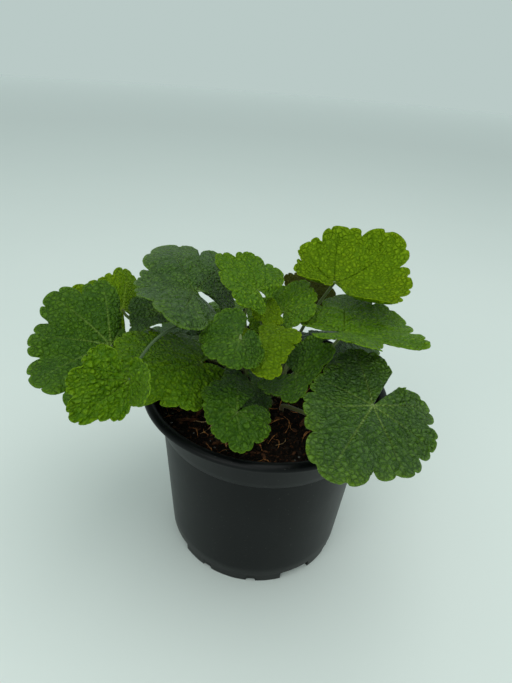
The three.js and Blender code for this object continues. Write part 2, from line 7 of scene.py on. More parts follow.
import logging
import math
import random
from dataclasses import dataclass, field, replace
from enum import Enum
from typing import Callable, Iterable

import bpy
import numpy as np
from mathutils import Matrix, Vector, noise


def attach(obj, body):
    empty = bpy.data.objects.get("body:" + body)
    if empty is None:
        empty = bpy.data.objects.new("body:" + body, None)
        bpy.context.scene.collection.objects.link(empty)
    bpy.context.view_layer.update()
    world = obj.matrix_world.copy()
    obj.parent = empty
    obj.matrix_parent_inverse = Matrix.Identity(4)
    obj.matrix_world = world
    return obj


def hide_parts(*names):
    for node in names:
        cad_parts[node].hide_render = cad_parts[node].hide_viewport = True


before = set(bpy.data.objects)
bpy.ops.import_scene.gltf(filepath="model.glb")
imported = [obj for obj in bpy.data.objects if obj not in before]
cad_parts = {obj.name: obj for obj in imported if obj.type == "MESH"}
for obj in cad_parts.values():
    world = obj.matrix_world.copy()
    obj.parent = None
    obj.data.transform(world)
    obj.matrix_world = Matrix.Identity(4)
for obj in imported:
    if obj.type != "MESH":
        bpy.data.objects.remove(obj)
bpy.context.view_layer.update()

log = logging.getLogger("fringe_cups")

MM = 0.001
TURN = 2 * math.pi
Colour = tuple[float, float, float]
Pair = tuple[float, float]
Row = np.ndarray
Piece = bpy.types.Object
Socket = bpy.types.NodeSocket
Material = bpy.types.Material

SIDE_LOBES = 3
LOBES_PER_SIDE = 3.6
TEETH_PER_LOBE = 3
MIX_LEVEL = 121 * MM
STALK_SOCKET_DEPTH = 9 * MM
YOUNG_LEAF_SIZE = 36 * MM
YOUNG_CELLS = (26, 26)
GROWN_CELLS = (40, 38)
CUFF_CURL = math.radians(190)
STALK_NECK = 3 * MM
STALK_SINK = 0.2 * MM
STALK_HAIRS = 130
BLADE_HAIRS = 420
HAIR_RADIUS = 0.055 * MM
HAIR_LENGTH = 1.2 * MM
CRUMB_SEED = 31
FIBRE_SEED = 77
GRIT_SEED = 9
FAINT_VEIN_SHARE = 0.32
# The dark vein look paints backlight: a lighter face for light through the blade, and darker veins and net
# for their shade in it.
BACKLIT_NET_SHADE = 0.75
BACKLIT_FACE_GAIN = 1.25
BACKLIT_VEIN_SHADE = 0.5


# Bench tools


def deselect_all() -> None:
    """Leaves nothing selected, so that an operator acts only on what comes next."""
    bpy.ops.object.select_all(action="DESELECT")


def take(piece: Piece) -> Piece:
    """Makes a piece the only selected and the active object.

    Args:
        piece: The object to work on.

    Returns:
        The same object.
    """
    deselect_all()
    piece.select_set(True)
    bpy.context.view_layer.objects.active = piece
    return piece


def added(maker: Callable[..., object], **values: object) -> Piece:
    """Runs an operator that adds a primitive, and gives the new object."""
    deselect_all()
    maker(**values)
    return bpy.context.active_object


def smooth(piece: Piece, angle: float = 40) -> Piece:
    """Shades a piece smooth, with edges above an angle in degrees left sharp."""
    take(piece)
    bpy.ops.object.shade_smooth_by_angle(angle=math.radians(angle))
    return piece


def settle(piece: Piece) -> Piece:
    """Moves a piece's place, turn and scale into its mesh."""
    take(piece)
    bpy.ops.object.transform_apply(location=True, rotation=True, scale=True)
    return piece


def apply_modifiers(piece: Piece) -> Piece:
    """Applies all modifiers of a piece in order."""
    take(piece)
    for modifier in list(piece.modifiers):
        bpy.ops.object.modifier_apply(modifier=modifier.name)
    return piece


def edited(piece: Piece, *steps: Callable[[], object]) -> Piece:
    """Runs operators in edit mode, on all of a piece's points."""
    take(piece)
    bpy.ops.object.mode_set(mode="EDIT")
    bpy.ops.mesh.select_all(action="SELECT")
    for step in steps:
        step()
    bpy.ops.object.mode_set(mode="OBJECT")
    return piece


def linked(name: str, data: bpy.types.ID) -> Piece:
    """Puts a mesh, a camera or a lamp into the scene."""
    piece = bpy.data.objects.new(name, data)
    bpy.context.scene.collection.objects.link(piece)
    return piece


def dressed(piece: Piece, *materials: Material) -> Piece:
    """Gives a piece its materials, in order."""
    for material in materials:
        piece.data.materials.append(material)
    return piece


def round_about(reach: float, turn: float) -> Pair:
    """The place at a distance from the Z axis and at an angle in radians."""
    return reach * math.cos(turn), reach * math.sin(turn)


def joined(pieces: list[Piece], name: str) -> Piece:
    """Joins pieces into the first of them.

    Args:
        pieces: The objects, of which the first keeps its place.
        name: The joined object's name.

    Returns:
        The joined object.
    """
    deselect_all()
    for piece in pieces:
        piece.select_set(True)
    bpy.context.view_layer.objects.active = pieces[0]
    if len(pieces) > 1:
        bpy.ops.object.join()
    pieces[0].name = name
    pieces[0].data.name = name
    return pieces[0]


def mapped_grid(
    name: str, columns: int, rows: int, place: Callable[[Row, Row], np.ndarray]
) -> tuple[Piece, Row, Row]:
    """Adds a grid and lays its points out by a formula.

    Args:
        name: The new object's name.
        columns: Cells along the grid's first side.
        rows: Cells along its second side.
        place: Gives each point's position from its two shares, from 0 to 1.

    Returns:
        The object, and each point's two shares.
    """
    deselect_all()
    bpy.ops.mesh.primitive_grid_add(x_subdivisions=columns, y_subdivisions=rows, size=2)
    piece = bpy.context.active_object
    piece.name = name
    flat = np.zeros(len(piece.data.vertices) * 3)
    piece.data.vertices.foreach_get("co", flat)
    flat = flat.reshape(-1, 3)
    across, along = (flat[:, 0] + 1) / 2, (flat[:, 1] + 1) / 2
    piece.data.vertices.foreach_set("co", place(across, along).ravel())
    piece.data.update()
    return piece, across, along


def weld(piece: Piece, gap: float = 0.004 * MM) -> Piece:
    """Merges points closer than a gap and turns all faces outwards."""
    return edited(
        piece,
        lambda: bpy.ops.mesh.remove_doubles(threshold=gap),
        lambda: bpy.ops.mesh.normals_make_consistent(inside=False),
    )


def turned(name: str, profile: list[Pair], sides: int) -> Piece:
    """Pulls a ring up along a profile, as a thrown wall.

    Args:
        name: The new object's name.
        profile: Radius and height of each ring. The first and last rings are closed to a point.
        sides: Points round each ring.

    Returns:
        A closed body round the Z axis.
    """
    deselect_all()
    (radius, height), rest = profile[0], profile[1:]
    bpy.ops.mesh.primitive_circle_add(vertices=sides, radius=radius, location=(0, 0, height))
    piece = bpy.context.active_object
    piece.name = name
    bpy.ops.object.mode_set(mode="EDIT")
    bpy.ops.mesh.select_all(action="SELECT")
    bpy.ops.mesh.extrude_edges_move()
    bpy.ops.mesh.merge(type="CENTER")
    bpy.ops.mesh.select_all(action="SELECT")
    bpy.ops.mesh.select_non_manifold(extend=False)
    for next_radius, next_height in rest:
        step = (0, 0, next_height - height)
        bpy.ops.mesh.extrude_edges_move(TRANSFORM_OT_translate={"value": step})
        share = next_radius / radius
        bpy.ops.transform.resize(value=(share, share, 1))
        radius, height = next_radius, next_height
    bpy.ops.mesh.extrude_edges_move()
    bpy.ops.mesh.merge(type="CENTER")
    bpy.ops.object.mode_set(mode="OBJECT")
    return weld(settle(piece))


def scattered(
    name: str, pattern: Piece, placings: Iterable[Matrix], kinds: Iterable[int] = ()
) -> Piece:
    """Copies one small pattern to many places in one mesh, and removes the pattern.

    Args:
        name: The new object's name.
        pattern: The piece to repeat.
        placings: One placing for each copy.
        kinds: The material index of each copy, or nothing for the first material.

    Returns:
        One object that holds all copies.
    """
    corners = np.array([v.co[:] for v in pattern.data.vertices])
    faces = [list(f.vertices) for f in pattern.data.polygons]
    points, polygons = [], []
    for count, placing in enumerate(placings):
        grid = np.array(placing)
        points.append(corners @ grid[:3, :3].T + grid[:3, 3])
        shift = count * len(corners)
        polygons += [[index + shift for index in face] for face in faces]
    mesh = bpy.data.meshes.new(name)
    mesh.from_pydata(np.concatenate(points).tolist(), [], polygons)
    kinds = list(kinds)
    if kinds:
        mesh.polygons.foreach_set("material_index", np.repeat(kinds, len(faces)).tolist())
    mesh.update()
    bpy.data.objects.remove(pattern)
    return linked(name, mesh)


def basis(position: Vector, direction: Vector, spin: float = 0.0) -> Matrix:
    """A placing whose Z axis runs along a direction.

    Args:
        position: The placing's origin.
        direction: The way that Z points.
        spin: A turn about that direction, in radians.

    Returns:
        The 4 x 4 placing.
    """
    turn = direction.to_track_quat("Z", "Y").to_matrix().to_4x4()
    return Matrix.Translation(position) @ turn @ Matrix.Rotation(spin, 4, "Z")


def hand_in(piece: Piece, slot: str, *nodes: str) -> Piece:
    """Lets a finished piece ride on the plant's body and stand for its nodes.

    Args:
        piece: The finished object, with its place in its mesh.
        slot: The name of its material slot, which only goes into the log.
        nodes: The solids that it stands for.

    Returns:
        The same object.
    """
    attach(piece, "root")
    if nodes:
        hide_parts(*nodes)
    log.info("%s: %d faces in %s", piece.name, len(piece.data.polygons), slot)
    return piece


class Dice:
    """Seeded draws that match those of the solids."""

    def __init__(self, seed: int) -> None:
        """Starts the draws from a seed."""
        self.state = seed

    def draw(self) -> float:
        """The next draw, from 0 to 1."""
        mask = 0xFFFFFFFF
        self.state = (self.state + 0x6D2B79F5) & mask
        t = self.state
        t = ((t ^ (t >> 15)) * (1 | t)) & mask
        t = ((t + (((t ^ (t >> 7)) * (61 | t)) & mask)) & mask) ^ t
        return ((t ^ (t >> 14)) & mask) / 4294967296


# Finishes


class NodeBench:
    """Short ways to lay out the nodes of one material."""

    def __init__(self, name: str) -> None:
        """Starts a material with only a Principled shader and its output."""
        self.material = bpy.data.materials.new(name)
        self.material.use_nodes = True
        self.tree = self.material.node_tree
        self.shader = self.tree.nodes["Principled BSDF"]
        self.output = self.tree.nodes["Material Output"]

    def node(self, kind: str, **values: object) -> bpy.types.Node:
        """Adds a node.

        Args:
            kind: The node's type name without its ShaderNode prefix.
            values: Properties, or inputs where no property has that name.

        Returns:
            The new node.
        """
        made = self.tree.nodes.new("ShaderNode" + kind)
        for name, value in values.items():
            if hasattr(made, name):
                setattr(made, name, value)
            else:
                made.inputs[name.replace("_", " ").title()].default_value = value
        return made

    def link(self, source: Socket, target: Socket) -> None:
        """Joins an output to an input."""
        self.tree.links.new(source, target)

    def attribute(self, name: str) -> Socket:
        """The value that a mesh keeps for each point under a name."""
        return self.node("Attribute", attribute_name=name).outputs["Fac"]

    def pattern(
        self, kind: str, stretch: Colour = (1, 1, 1), chart: str = "", **values: object
    ) -> bpy.types.Node:
        """A texture node that reads the piece's own coordinates.

        Args:
            kind: The texture's type, such as TexNoise.
            stretch: Scale along each axis before the texture.
            chart: The UV map to read, or nothing for the object's own coordinates.
            values: The texture's own values.

        Returns:
            The texture node.
        """
        made = self.node(kind, **values)
        if chart:
            place = self.node("UVMap", uv_map=chart).outputs["UV"]
        else:
            place = self.node("TexCoord").outputs["Object"]
        if stretch != (1, 1, 1):
            mapping = self.node("Mapping")
            mapping.inputs["Scale"].default_value = stretch
            self.link(place, mapping.inputs["Vector"])
            place = mapping.outputs["Vector"]
        self.link(place, made.inputs["Vector"])
        return made

    def noise(self, stretch: Colour = (1, 1, 1), chart: str = "", **values: object) -> Socket:
        """A cloudy pattern, from 0 to 1. Takes what pattern takes."""
        return self.pattern("TexNoise", stretch, chart, **values).outputs["Fac"]

    def cells(self, chart: str = "", **values: object) -> Socket:
        """A pattern of cells. Takes what pattern takes."""
        return self.pattern("TexVoronoi", chart=chart, **values).outputs["Distance"]

    def ramp(self, source: Socket, low: float, high: float) -> Socket:
        """Stretches a value so that low becomes 0 and high becomes 1, clamped."""
        made = self.node("MapRange", clamp=True)
        made.inputs["From Min"].default_value = low
        made.inputs["From Max"].default_value = high
        self.link(source, made.inputs["Value"])
        return made.outputs["Result"]

    def between(self, source: Socket, low: float, high: float) -> Socket:
        """Spreads a value from 0 to 1 over low to high."""
        made = self.node("MapRange")
        made.inputs["To Min"].default_value = low
        made.inputs["To Max"].default_value = high
        self.link(source, made.inputs["Value"])
        return made.outputs["Result"]

    def times(self, source: Socket, factor: float) -> Socket:
        """Multiplies a value."""
        made = self.node("Math", operation="MULTIPLY")
        made.inputs[1].default_value = factor
        self.link(source, made.inputs[0])
        return made.outputs[0]

    def plus(self, one: Socket, other: Socket) -> Socket:
        """Adds two values."""
        made = self.node("Math", operation="ADD")
        self.link(one, made.inputs[0])
        self.link(other, made.inputs[1])
        return made.outputs[0]

    def blend(self, share: Socket, first: object, second: object) -> Socket:
        """Blends two colours.

        Args:
            share: How much of the second colour shows.
            first: A colour, or a socket that gives one.
            second: A colour, or a socket that gives one.

        Returns:
            The blended colour.
        """
        made = self.node("Mix", data_type="RGBA")
        self.link(share, made.inputs[0])
        for value, socket in ((first, made.inputs[6]), (second, made.inputs[7])):
            if isinstance(value, Socket):
                self.link(value, socket)
            else:
                socket.default_value = (*value, 1)
        return made.outputs[2]

    def bump(self, height: Socket, depth: float, strength: float) -> Socket:
        """Turns a height into a bumpy normal.

        Args:
            height: The relief, from 0 to 1.
            depth: How deep a relief of 1 is, in metres.
            strength: How far the normal follows it.

        Returns:
            The normal.
        """
        made = self.node("Bump")
        made.inputs["Strength"].default_value = strength
        made.inputs["Distance"].default_value = depth
        self.link(height, made.inputs["Height"])
        return made.outputs["Normal"]

    def set(self, **values: object) -> None:
        """Sets sockets of the Principled shader, to a value or from a socket."""
        for name, value in values.items():
            socket = self.shader.inputs[name.replace("_", " ").title().replace("Ior", "IOR")]
            if isinstance(value, Socket):
                self.link(value, socket)
            elif isinstance(value, tuple) and len(value) == 3 and len(socket.default_value) == 4:
                socket.default_value = (*value, 1)
            else:
                socket.default_value = value


class LeafTone(Enum):
    """The five greens of the clump."""

    DARK = "dark"
    MID = "mid"
    BRIGHT = "bright"
    LIME = "lime"
    OLIVE = "olive"

    @property
    def slot(self) -> str:
        """The material slot of leaves in this green."""
        return "leaf_" + self.value


class VeinLook(Enum):
    """How a blade's main veins stand out from its skin."""

    PALE = "pale"
    FAINT = "faint"
    # Dark veins on a lighter face, painted as if the blade were lit from behind.
    DARK = "dark"


@dataclass(frozen=True)
class BladeFinish:
    """The soft, hairy, netted skin of a leaf blade.

    net_size and blister_size are widths in millimetres. net_share is how far painted shade darkens the fine
    net's creases.
    """

    face: Colour
    # The darker green of hollows and creases, which is painted shade. It is also the colour of random dark
    # specks.
    deep: Colour
    vein: Colour
    margin: Colour
    under: Colour
    glow: Colour
    glow_share: float
    vein_share: float = 0.9
    net_share: float = 0.6
    net_size: float = 3.1
    blister_size: float = 4.6
    roughness: float = 0.48
    specular: float = 0.1

    def lit(self, bench: NodeBench) -> None:
        """Lets some light through the blade from behind."""
        through = bench.node("BsdfTranslucent")
        through.inputs["Color"].default_value = (*self.glow, 1)
        mix = bench.node("MixShader")
        mix.inputs["Fac"].default_value = self.glow_share
        bench.link(bench.shader.outputs[0], mix.inputs[1])
        bench.link(through.outputs[0], mix.inputs[2])
        bench.link(mix.outputs[0], bench.output.inputs["Surface"])

    def net(self, bench: NodeBench) -> Socket:
        """The skin's fine net, as the distance to its nearest line."""
        return bench.cells(chart="blade", scale=10 / self.net_size, feature="DISTANCE_TO_EDGE")

    def mixed(self, share: float) -> Colour:
        """A green between the painted shade of the hollows and the crests' green.

        Args:
            share: How much of the crests' green is in it.

        Returns:
            The colour.
        """
        return tuple(share * crest + (1 - share) * hollow for crest, hollow in zip(self.face, self.deep))

    def upper(self, name: str) -> Material:
        """The upper face: blistered and netted, with light main veins and a lighter rim. The light and
        shade of its relief are painted in: blister crests lighter, and hollows, net lines and the creases
        along the side veins darker. Fine specks are darker at random.

        Args:
            name: The material's name.

        Returns:
            The material.
        """
        bench = NodeBench(name)
        blisters = bench.noise(chart="blade", scale=10 / self.blister_size, detail=3.0)
        fine = bench.noise(chart="blade", scale=9.0, detail=2.0)
        cells = self.net(bench)
        domes = bench.ramp(cells, 0.0, 0.3)
        lines = bench.ramp(cells, 0.19, 0.02)
        # Blister crests lighter and their hollows darker: painted light and shade of the relief.
        colour = bench.blend(bench.ramp(blisters, 0.4, 0.62), self.mixed(0.4), self.mixed(0.8))
        colour = bench.blend(bench.times(bench.ramp(fine, 0.5, 0.66), 0.4), colour, self.deep)
        # Purer green towards the margin is painted light: curled edges that catch no sheen. The rest of
        # this tint wanders at random.
        colour = bench.blend(bench.attribute("tint_and_sheenless_rim"), colour, self.margin)
        # The net's lines are darkened with painted shade, as creases.
        colour = bench.blend(bench.times(lines, self.net_share), colour, self.deep)
        # The creases along the side veins are darkened with painted shade.
        colour = bench.blend(bench.times(bench.attribute("side_vein"), 0.75), colour, self.deep)
        colour = bench.blend(bench.times(bench.attribute("main_vein"), self.vein_share), colour, self.vein)
        colour = bench.blend(bench.times(bench.attribute("rim"), 0.6), colour, self.margin)
        relief = bench.plus(domes, bench.plus(bench.times(fine, 0.9), bench.times(blisters, 2.2)))
        gloss = bench.between(fine, self.roughness - 0.14, self.roughness + 0.12)
        bench.set(base_color=colour, roughness=gloss, normal=bench.bump(relief, 1.25 * MM, 1.0))
        bench.set(specular_ior_level=self.specular)
        self.lit(bench)
        return bench.material

    def lower(self, name: str) -> Material:
        """The paler, duller underside.

        Args:
            name: The material's name.

        Returns:
            The material.
        """
        bench = NodeBench(name)
        fine = bench.noise(chart="blade", scale=3.0, detail=3.0)
        cells = self.net(bench)
        colour = bench.blend(bench.ramp(fine, 0.3, 0.8), self.under, self.face)
        colour = bench.blend(bench.times(bench.ramp(cells, 0.12, 0.0), 0.3), colour, self.vein)
        vein = bench.times(bench.plus(bench.attribute("main_vein"), bench.attribute("side_vein")), 0.5)
        colour = bench.blend(vein, colour, self.vein)
        bench.set(base_color=colour, roughness=0.62, normal=bench.bump(cells, 0.3 * MM, 0.5))
        bench.set(specular_ior_level=0.2)
        self.lit(bench)
        return bench.material

    def edge(self, name: str) -> Material:
        """The thin pale edge of the blade.

        Args:
            name: The material's name.

        Returns:
            The material.
        """
        bench = NodeBench(name)
        fine = bench.noise(scale=400.0)
        bench.set(base_color=bench.blend(fine, self.margin, self.vein), roughness=0.5)
        bench.set(specular_ior_level=0.2)
        self.lit(bench)
        return bench.material


BLADES = {
    LeafTone.DARK: BladeFinish(
        face=(0.09, 0.2, 0.014), deep=(0.018, 0.058, 0.006), vein=(0.25, 0.37, 0.07),
        margin=(0.12, 0.24, 0.004), under=(0.13, 0.24, 0.03), glow=(0.14, 0.3, 0.006), glow_share=0.12,
        roughness=0.36, specular=0.36,
    ),
    LeafTone.MID: BladeFinish(
        face=(0.094, 0.215, 0.006), deep=(0.022, 0.075, 0.002), vein=(0.23, 0.36, 0.06),
        margin=(0.12, 0.25, 0.004), under=(0.13, 0.24, 0.03), glow=(0.16, 0.34, 0.004), glow_share=0.18,
        roughness=0.42, specular=0.22,
    ),
    LeafTone.BRIGHT: BladeFinish(
        face=(0.21, 0.39, 0.005), deep=(0.05, 0.15, 0.002), vein=(0.3, 0.44, 0.05),
        margin=(0.2, 0.36, 0.004), under=(0.16, 0.28, 0.03), glow=(0.25, 0.46, 0.004), glow_share=0.24,
        roughness=0.42, specular=0.2,
    ),
    LeafTone.LIME: BladeFinish(
        face=(0.245, 0.395, 0.008), deep=(0.09, 0.18, 0.003), vein=(0.36, 0.5, 0.06),
        margin=(0.3, 0.44, 0.006), under=(0.18, 0.3, 0.03), glow=(0.4, 0.62, 0.005), glow_share=0.3,
        specular=0.08,
    ),
    LeafTone.OLIVE: BladeFinish(
        face=(0.1, 0.12, 0.008), deep=(0.05, 0.055, 0.006), vein=(0.2, 0.2, 0.05),
        margin=(0.12, 0.12, 0.01), under=(0.13, 0.14, 0.03), glow=(0.2, 0.22, 0.01), glow_share=0.25,
        specular=0.08,
    ),
}


@dataclass(frozen=True)
class StalkFinish:
    """A pale green stalk that turns brownish at its foot."""

    green: Colour = (0.12, 0.2, 0.03)
    brown: Colour = (0.09, 0.055, 0.02)
    hair: Colour = (0.32, 0.38, 0.2)

    def skin(self, name: str) -> Material:
        """The stalk's skin, streaked along its length.

        Args:
            name: The material's name.

        Returns:
            The material.
        """
        bench = NodeBench(name)
        streaks = bench.noise((1, 1, 0.12), scale=900.0, detail=2.0)
        colour = bench.blend(bench.attribute("foot"), self.green, self.brown)
        colour = bench.blend(bench.times(streaks, 0.5), colour, self.brown)
        bench.set(base_color=colour, roughness=0.5, normal=bench.bump(streaks, 0.1 * MM, 0.5))
        bench.set(sheen_weight=0.3)
        return bench.material

    def hairs(self, name: str) -> Material:
        """The fine glassy hairs.

        Args:
            name: The material's name.

        Returns:
            The material.
        """
        bench = NodeBench(name)
        tint = bench.noise(scale=60.0)
        bench.set(base_color=bench.blend(tint, self.hair, self.green), roughness=0.4)
        return bench.material


# A stalk darkened with painted shade, for one that runs in the shade of other leaves.
SHADED_STALK = StalkFinish(green=(0.03, 0.075, 0.008), brown=(0.02, 0.035, 0.008))


@dataclass(frozen=True)
class PotFinish:
    """Satin black moulded plastic, dusty towards the foot and worn in cloudy patches and streaks."""

    black: Colour = (0.0012, 0.0018, 0.002)
    worn: Colour = (0.006, 0.007, 0.0075)
    dust: Colour = (0.1, 0.098, 0.09)

    def plastic(self, name: str) -> Material:
        """The pot's plastic.

        Args:
            name: The material's name.

        Returns:
            The material.
        """
        bench = NodeBench(name)
        cloudy = bench.noise(scale=26.0, detail=5.0)
        streaky = bench.noise((1, 1, 0.08), scale=140.0, detail=3.0)
        specks = bench.noise(scale=900.0, detail=1.0)
        colour = bench.blend(bench.times(bench.ramp(cloudy, 0.4, 0.75), 0.5), self.black, self.worn)
        colour = bench.blend(bench.times(bench.ramp(streaky, 0.58, 0.8), 0.35), colour, self.worn)
        height = bench.node("SeparateXYZ")
        bench.link(bench.node("TexCoord").outputs["Object"], height.inputs[0])
        low = bench.ramp(height.outputs["Z"], 22 * MM, 0.0)
        dusty = bench.node("Math", operation="MULTIPLY")
        bench.link(low, dusty.inputs[0])
        bench.link(bench.ramp(cloudy, 0.35, 0.8), dusty.inputs[1])
        colour = bench.blend(bench.times(dusty.outputs[0], 0.12), colour, self.dust)
        colour = bench.blend(bench.times(bench.ramp(specks, 0.72, 0.8), 0.5), colour, self.dust)
        gloss = bench.between(cloudy, 0.28, 0.46)
        grain = bench.plus(bench.times(specks, 0.25), streaky)
        bench.set(base_color=colour, roughness=gloss, normal=bench.bump(grain, 0.12 * MM, 0.35))
        bench.set(specular_ior_level=0.15)
        return bench.material


@dataclass(frozen=True)
class MixFinish:
    """Damp peat and bark: near black between orange-brown fibres."""

    peat: Colour = (0.0045, 0.003, 0.002)
    crumb: Colour = (0.014, 0.008, 0.005)
    bark: Colour = (0.11, 0.04, 0.015)
    fibre: Colour = (0.5, 0.2, 0.06)
    pale: Colour = (0.8, 0.52, 0.26)
    grit: Colour = (0.26, 0.25, 0.23)

    def soil(self, name: str) -> Material:
        """The crumbly ground.

        Args:
            name: The material's name.

        Returns:
            The material.
        """
        bench = NodeBench(name)
        crumbs = bench.noise(scale=420.0, detail=6.0)
        grains = bench.cells(scale=700.0)
        colour = bench.blend(bench.ramp(crumbs, 0.45, 0.75), self.peat, self.crumb)
        colour = bench.blend(bench.times(bench.ramp(grains, 0.66, 0.84), 0.5), colour, self.bark)
        normal = bench.bump(bench.plus(crumbs, grains), 1.0 * MM, 0.9)
        bench.set(base_color=colour, roughness=0.95, normal=normal, specular_ior_level=0.12)
        return bench.material

    def wood(self, name: str, colour: Colour, roughness: float = 0.75) -> Material:
        """Bark, fibre or grit in one colour, streaked darker.

        Args:
            name: The material's name.
            colour: The main colour.
            roughness: How dull it is.

        Returns:
            The material.
        """
        bench = NodeBench(name)
        streaks = bench.noise((1, 1, 3), scale=380.0, detail=4.0)
        shade = bench.blend(bench.ramp(streaks, 0.35, 0.7), colour, self.crumb)
        bench.set(base_color=shade, roughness=roughness, normal=bench.bump(streaks, 0.3 * MM, 0.7))
        bench.set(specular_ior_level=0.2)
        return bench.material


# Leaves


@dataclass
class Leaf:
    """One leaf: a round blade with seven shallow lobes on a thin hairy stalk.

    at is where stalk and blade meet. heading is the compass turn of the middle lobe, from +X towards +Y,
    pitch its rise, and roll the blade's turn about it. lobes gives each lobe's length as a share of size,
    from the right of the sinus round to the left. right and left are how far the blade reaches round to
    the sinus. droop bends the rim up, vee folds the sides up, and nod bends the tip up and the base down.
    root is where the stalk leaves the mix. The stalk meets the blade at the angle tuck under the blade's
    plane. rise and reach are how far it keeps to its first and last direction, as shares of its span, and
    sweep bows its upper part. relief is how strongly the face is quilted, and wave how far the rim
    undulates. cuff is the width of the strip along the right of the sinus that is curled up and over.
    veins is how its main veins show, the dark look being painted backlight, and shaded_stalk gives it a
    stalk painted deep green for the shade that it runs in, in place of a pale one.
    tooth_depth, lobe_notch and lobe_cut are how deep the margin is cut at teeth and between lobes, and
    sinus_rounding how far it is drawn in at the sinus, as shares of its distance from the junction. seed
    sets the leaf's own draws. Lengths are in millimetres, but thickness is in metres. Angles are in
    degrees.
    """

    name: str
    tone: LeafTone
    at: tuple[float, float, float]
    heading: float
    pitch: float
    roll: float
    size: float
    lobes: tuple[float, ...]
    right: float
    left: float
    droop: float
    nod: float
    vee: float
    root: tuple[float, float]
    tuck: float
    rise: float
    reach: float
    sweep: tuple[float, float, float]
    relief: float = 1.0
    wave: float = 1.0
    cuff: float = 0.0
    veins: VeinLook = VeinLook.FAINT
    shaded_stalk: bool = False
    tooth_depth: float = 0.068
    lobe_notch: float = 0.1
    lobe_cut: float = 0.05
    sinus_rounding: float = 0.35
    thickness: float = 0.5 * MM
    seed: int = 0
    axes: np.ndarray = field(init=False)

    def __post_init__(self) -> None:
        """Works out the blade's own axes: along the middle lobe, to its left, and up."""
        turn, rise, roll = (math.radians(a) for a in (self.heading, self.pitch, self.roll))
        along = np.array([math.cos(turn) * math.cos(rise), math.sin(turn) * math.cos(rise), math.sin(rise)])
        level = np.array([-math.sin(turn), math.cos(turn), 0])
        left = level * math.cos(roll) + np.cross(along, level) * math.sin(roll)
        self.axes = np.array([along, left, np.cross(along, left)])

    @property
    def young(self) -> bool:
        """Whether this is one of the small leaves with a thin stalk."""
        return self.size * MM < YOUNG_LEAF_SIZE

    @property
    def stalk_radius(self) -> float:
        """The stalk's radius at its middle."""
        return (0.9 if self.young else 1.25) * MM

    def margin_radius(self, place: Row) -> Row:
        """The margin's distance from the junction.

        Args:
            place: The place round the margin in lobes, from the middle one, + to the left.

        Returns:
            The distance in metres.
        """
        low = np.clip(np.floor(place), -SIDE_LOBES, SIDE_LOBES - 1).astype(int)
        ease = (1 - np.cos(np.pi * np.clip(place - low, 0, 1))) / 2
        lobes = np.array(self.lobes)
        lobe = lobes[low + SIDE_LOBES] * (1 - ease) + lobes[low + SIDE_LOBES + 1] * ease
        beyond = np.maximum(0, np.abs(place) - SIDE_LOBES) / (LOBES_PER_SIDE - SIDE_LOBES)
        from_middle = np.minimum(0.5, np.abs(place - np.round(place)))
        notch = np.where(
            beyond > 0,
            1 - self.sinus_rounding * np.minimum(1, beyond) ** 2,
            1 - self.lobe_notch * (2 * from_middle) ** 2.5,
        )
        return self.size * MM * lobe * notch

    def teeth(self, place: Row) -> Row:
        """How deep the margin is cut between its round teeth, as a share of its radius."""
        count = (place + SIDE_LOBES + 0.5) * TEETH_PER_LOBE
        count = count + 0.14 * np.sin(count * 2.1 + self.seed)
        between = np.abs(2 * (count - np.floor(count)) - 1)
        lobe_edge = 2 * np.abs(place - np.round(place))
        cut = self.tooth_depth * (0.3 * between**2 + 0.7 * between**8) + self.lobe_cut * lobe_edge**14
        return np.where(np.abs(place) > SIDE_LOBES + 0.48, 0.02 * between**2, cut)

    def turn(self, place: Row) -> Row:
        """The compass turn of a place on the blade, from the middle lobe."""
        return np.radians(place / LOBES_PER_SIDE * np.where(place > 0, self.left, self.right))

    def flat(self, place: Row, reach: Row) -> np.ndarray:
        """A blade point on the unrolled blade, as two coordinates from the junction."""
        ramp = np.clip((reach - 0.55) / 0.45, 0, 1) ** 2
        radius = self.margin_radius(place) * reach * (1 - self.teeth(place) * ramp)
        turn = self.turn(place)
        return np.stack([radius * np.cos(turn), radius * np.sin(turn)], axis=1)

    def bent(self, place: Row, reach: Row) -> np.ndarray:
        """A blade point in space.

        Args:
            place: The place round the margin, in lobes.
            reach: How far out the point is, from 0 to 1 at the margin.

        Returns:
            One row of three coordinates for each point.
        """
        flat = self.flat(place, reach)
        turn = self.turn(place)
        radius = np.hypot(flat[:, 0], flat[:, 1])
        rim = self.droop + self.nod * np.cos(turn)
        fold = self.vee * (1 - np.cos(2 * turn)) / 2
        bend = np.radians(fold + rim * reach / 2)
        way = np.stack(
            [np.cos(bend) * np.cos(turn), np.cos(bend) * np.sin(turn), np.sin(bend)], axis=1,
        )
        return np.array(self.at) * MM + (radius[:, None] * way) @ self.axes

    def main_veins(self) -> list[np.ndarray]:
        """The veins that run from the junction to each lobe's tip, on the unrolled blade.

        Returns:
            One row of points for each vein.
        """
        veins = []
        for lobe in range(-SIDE_LOBES, SIDE_LOBES + 1):
            place = np.full(12, float(lobe))
            reach = np.linspace(0, 0.96, 12)
            veins.append(self.flat(place, reach))
        return veins

    def side_veins(self) -> list[np.ndarray]:
        """The veins that branch off the main ones towards the teeth, on the unrolled blade.

        Returns:
            One row of points for each vein.
        """
        draw = random.Random(self.seed + 11)
        veins = []
        for lobe, main in zip(range(-SIDE_LOBES, SIDE_LOBES + 1), self.main_veins()):
            length = np.hypot(*main[-1])
            course = math.atan2(main[-1][1], main[-1][0])
            for step, share in enumerate(np.arange(0.24, 0.9, 0.15)):
                side = 1 if step % 2 else -1
                for way in (side, -side):
                    start = share + draw.uniform(-0.04, 0.04) + (0.06 if way != side else 0)
                    point = np.array([math.cos(course), math.sin(course)]) * length * start
                    heading = course + way * math.radians(draw.uniform(38, 58))
                    veins.append(self.traced(point, heading, draw, lobe))
        return [vein for vein in veins if len(vein) > 2]

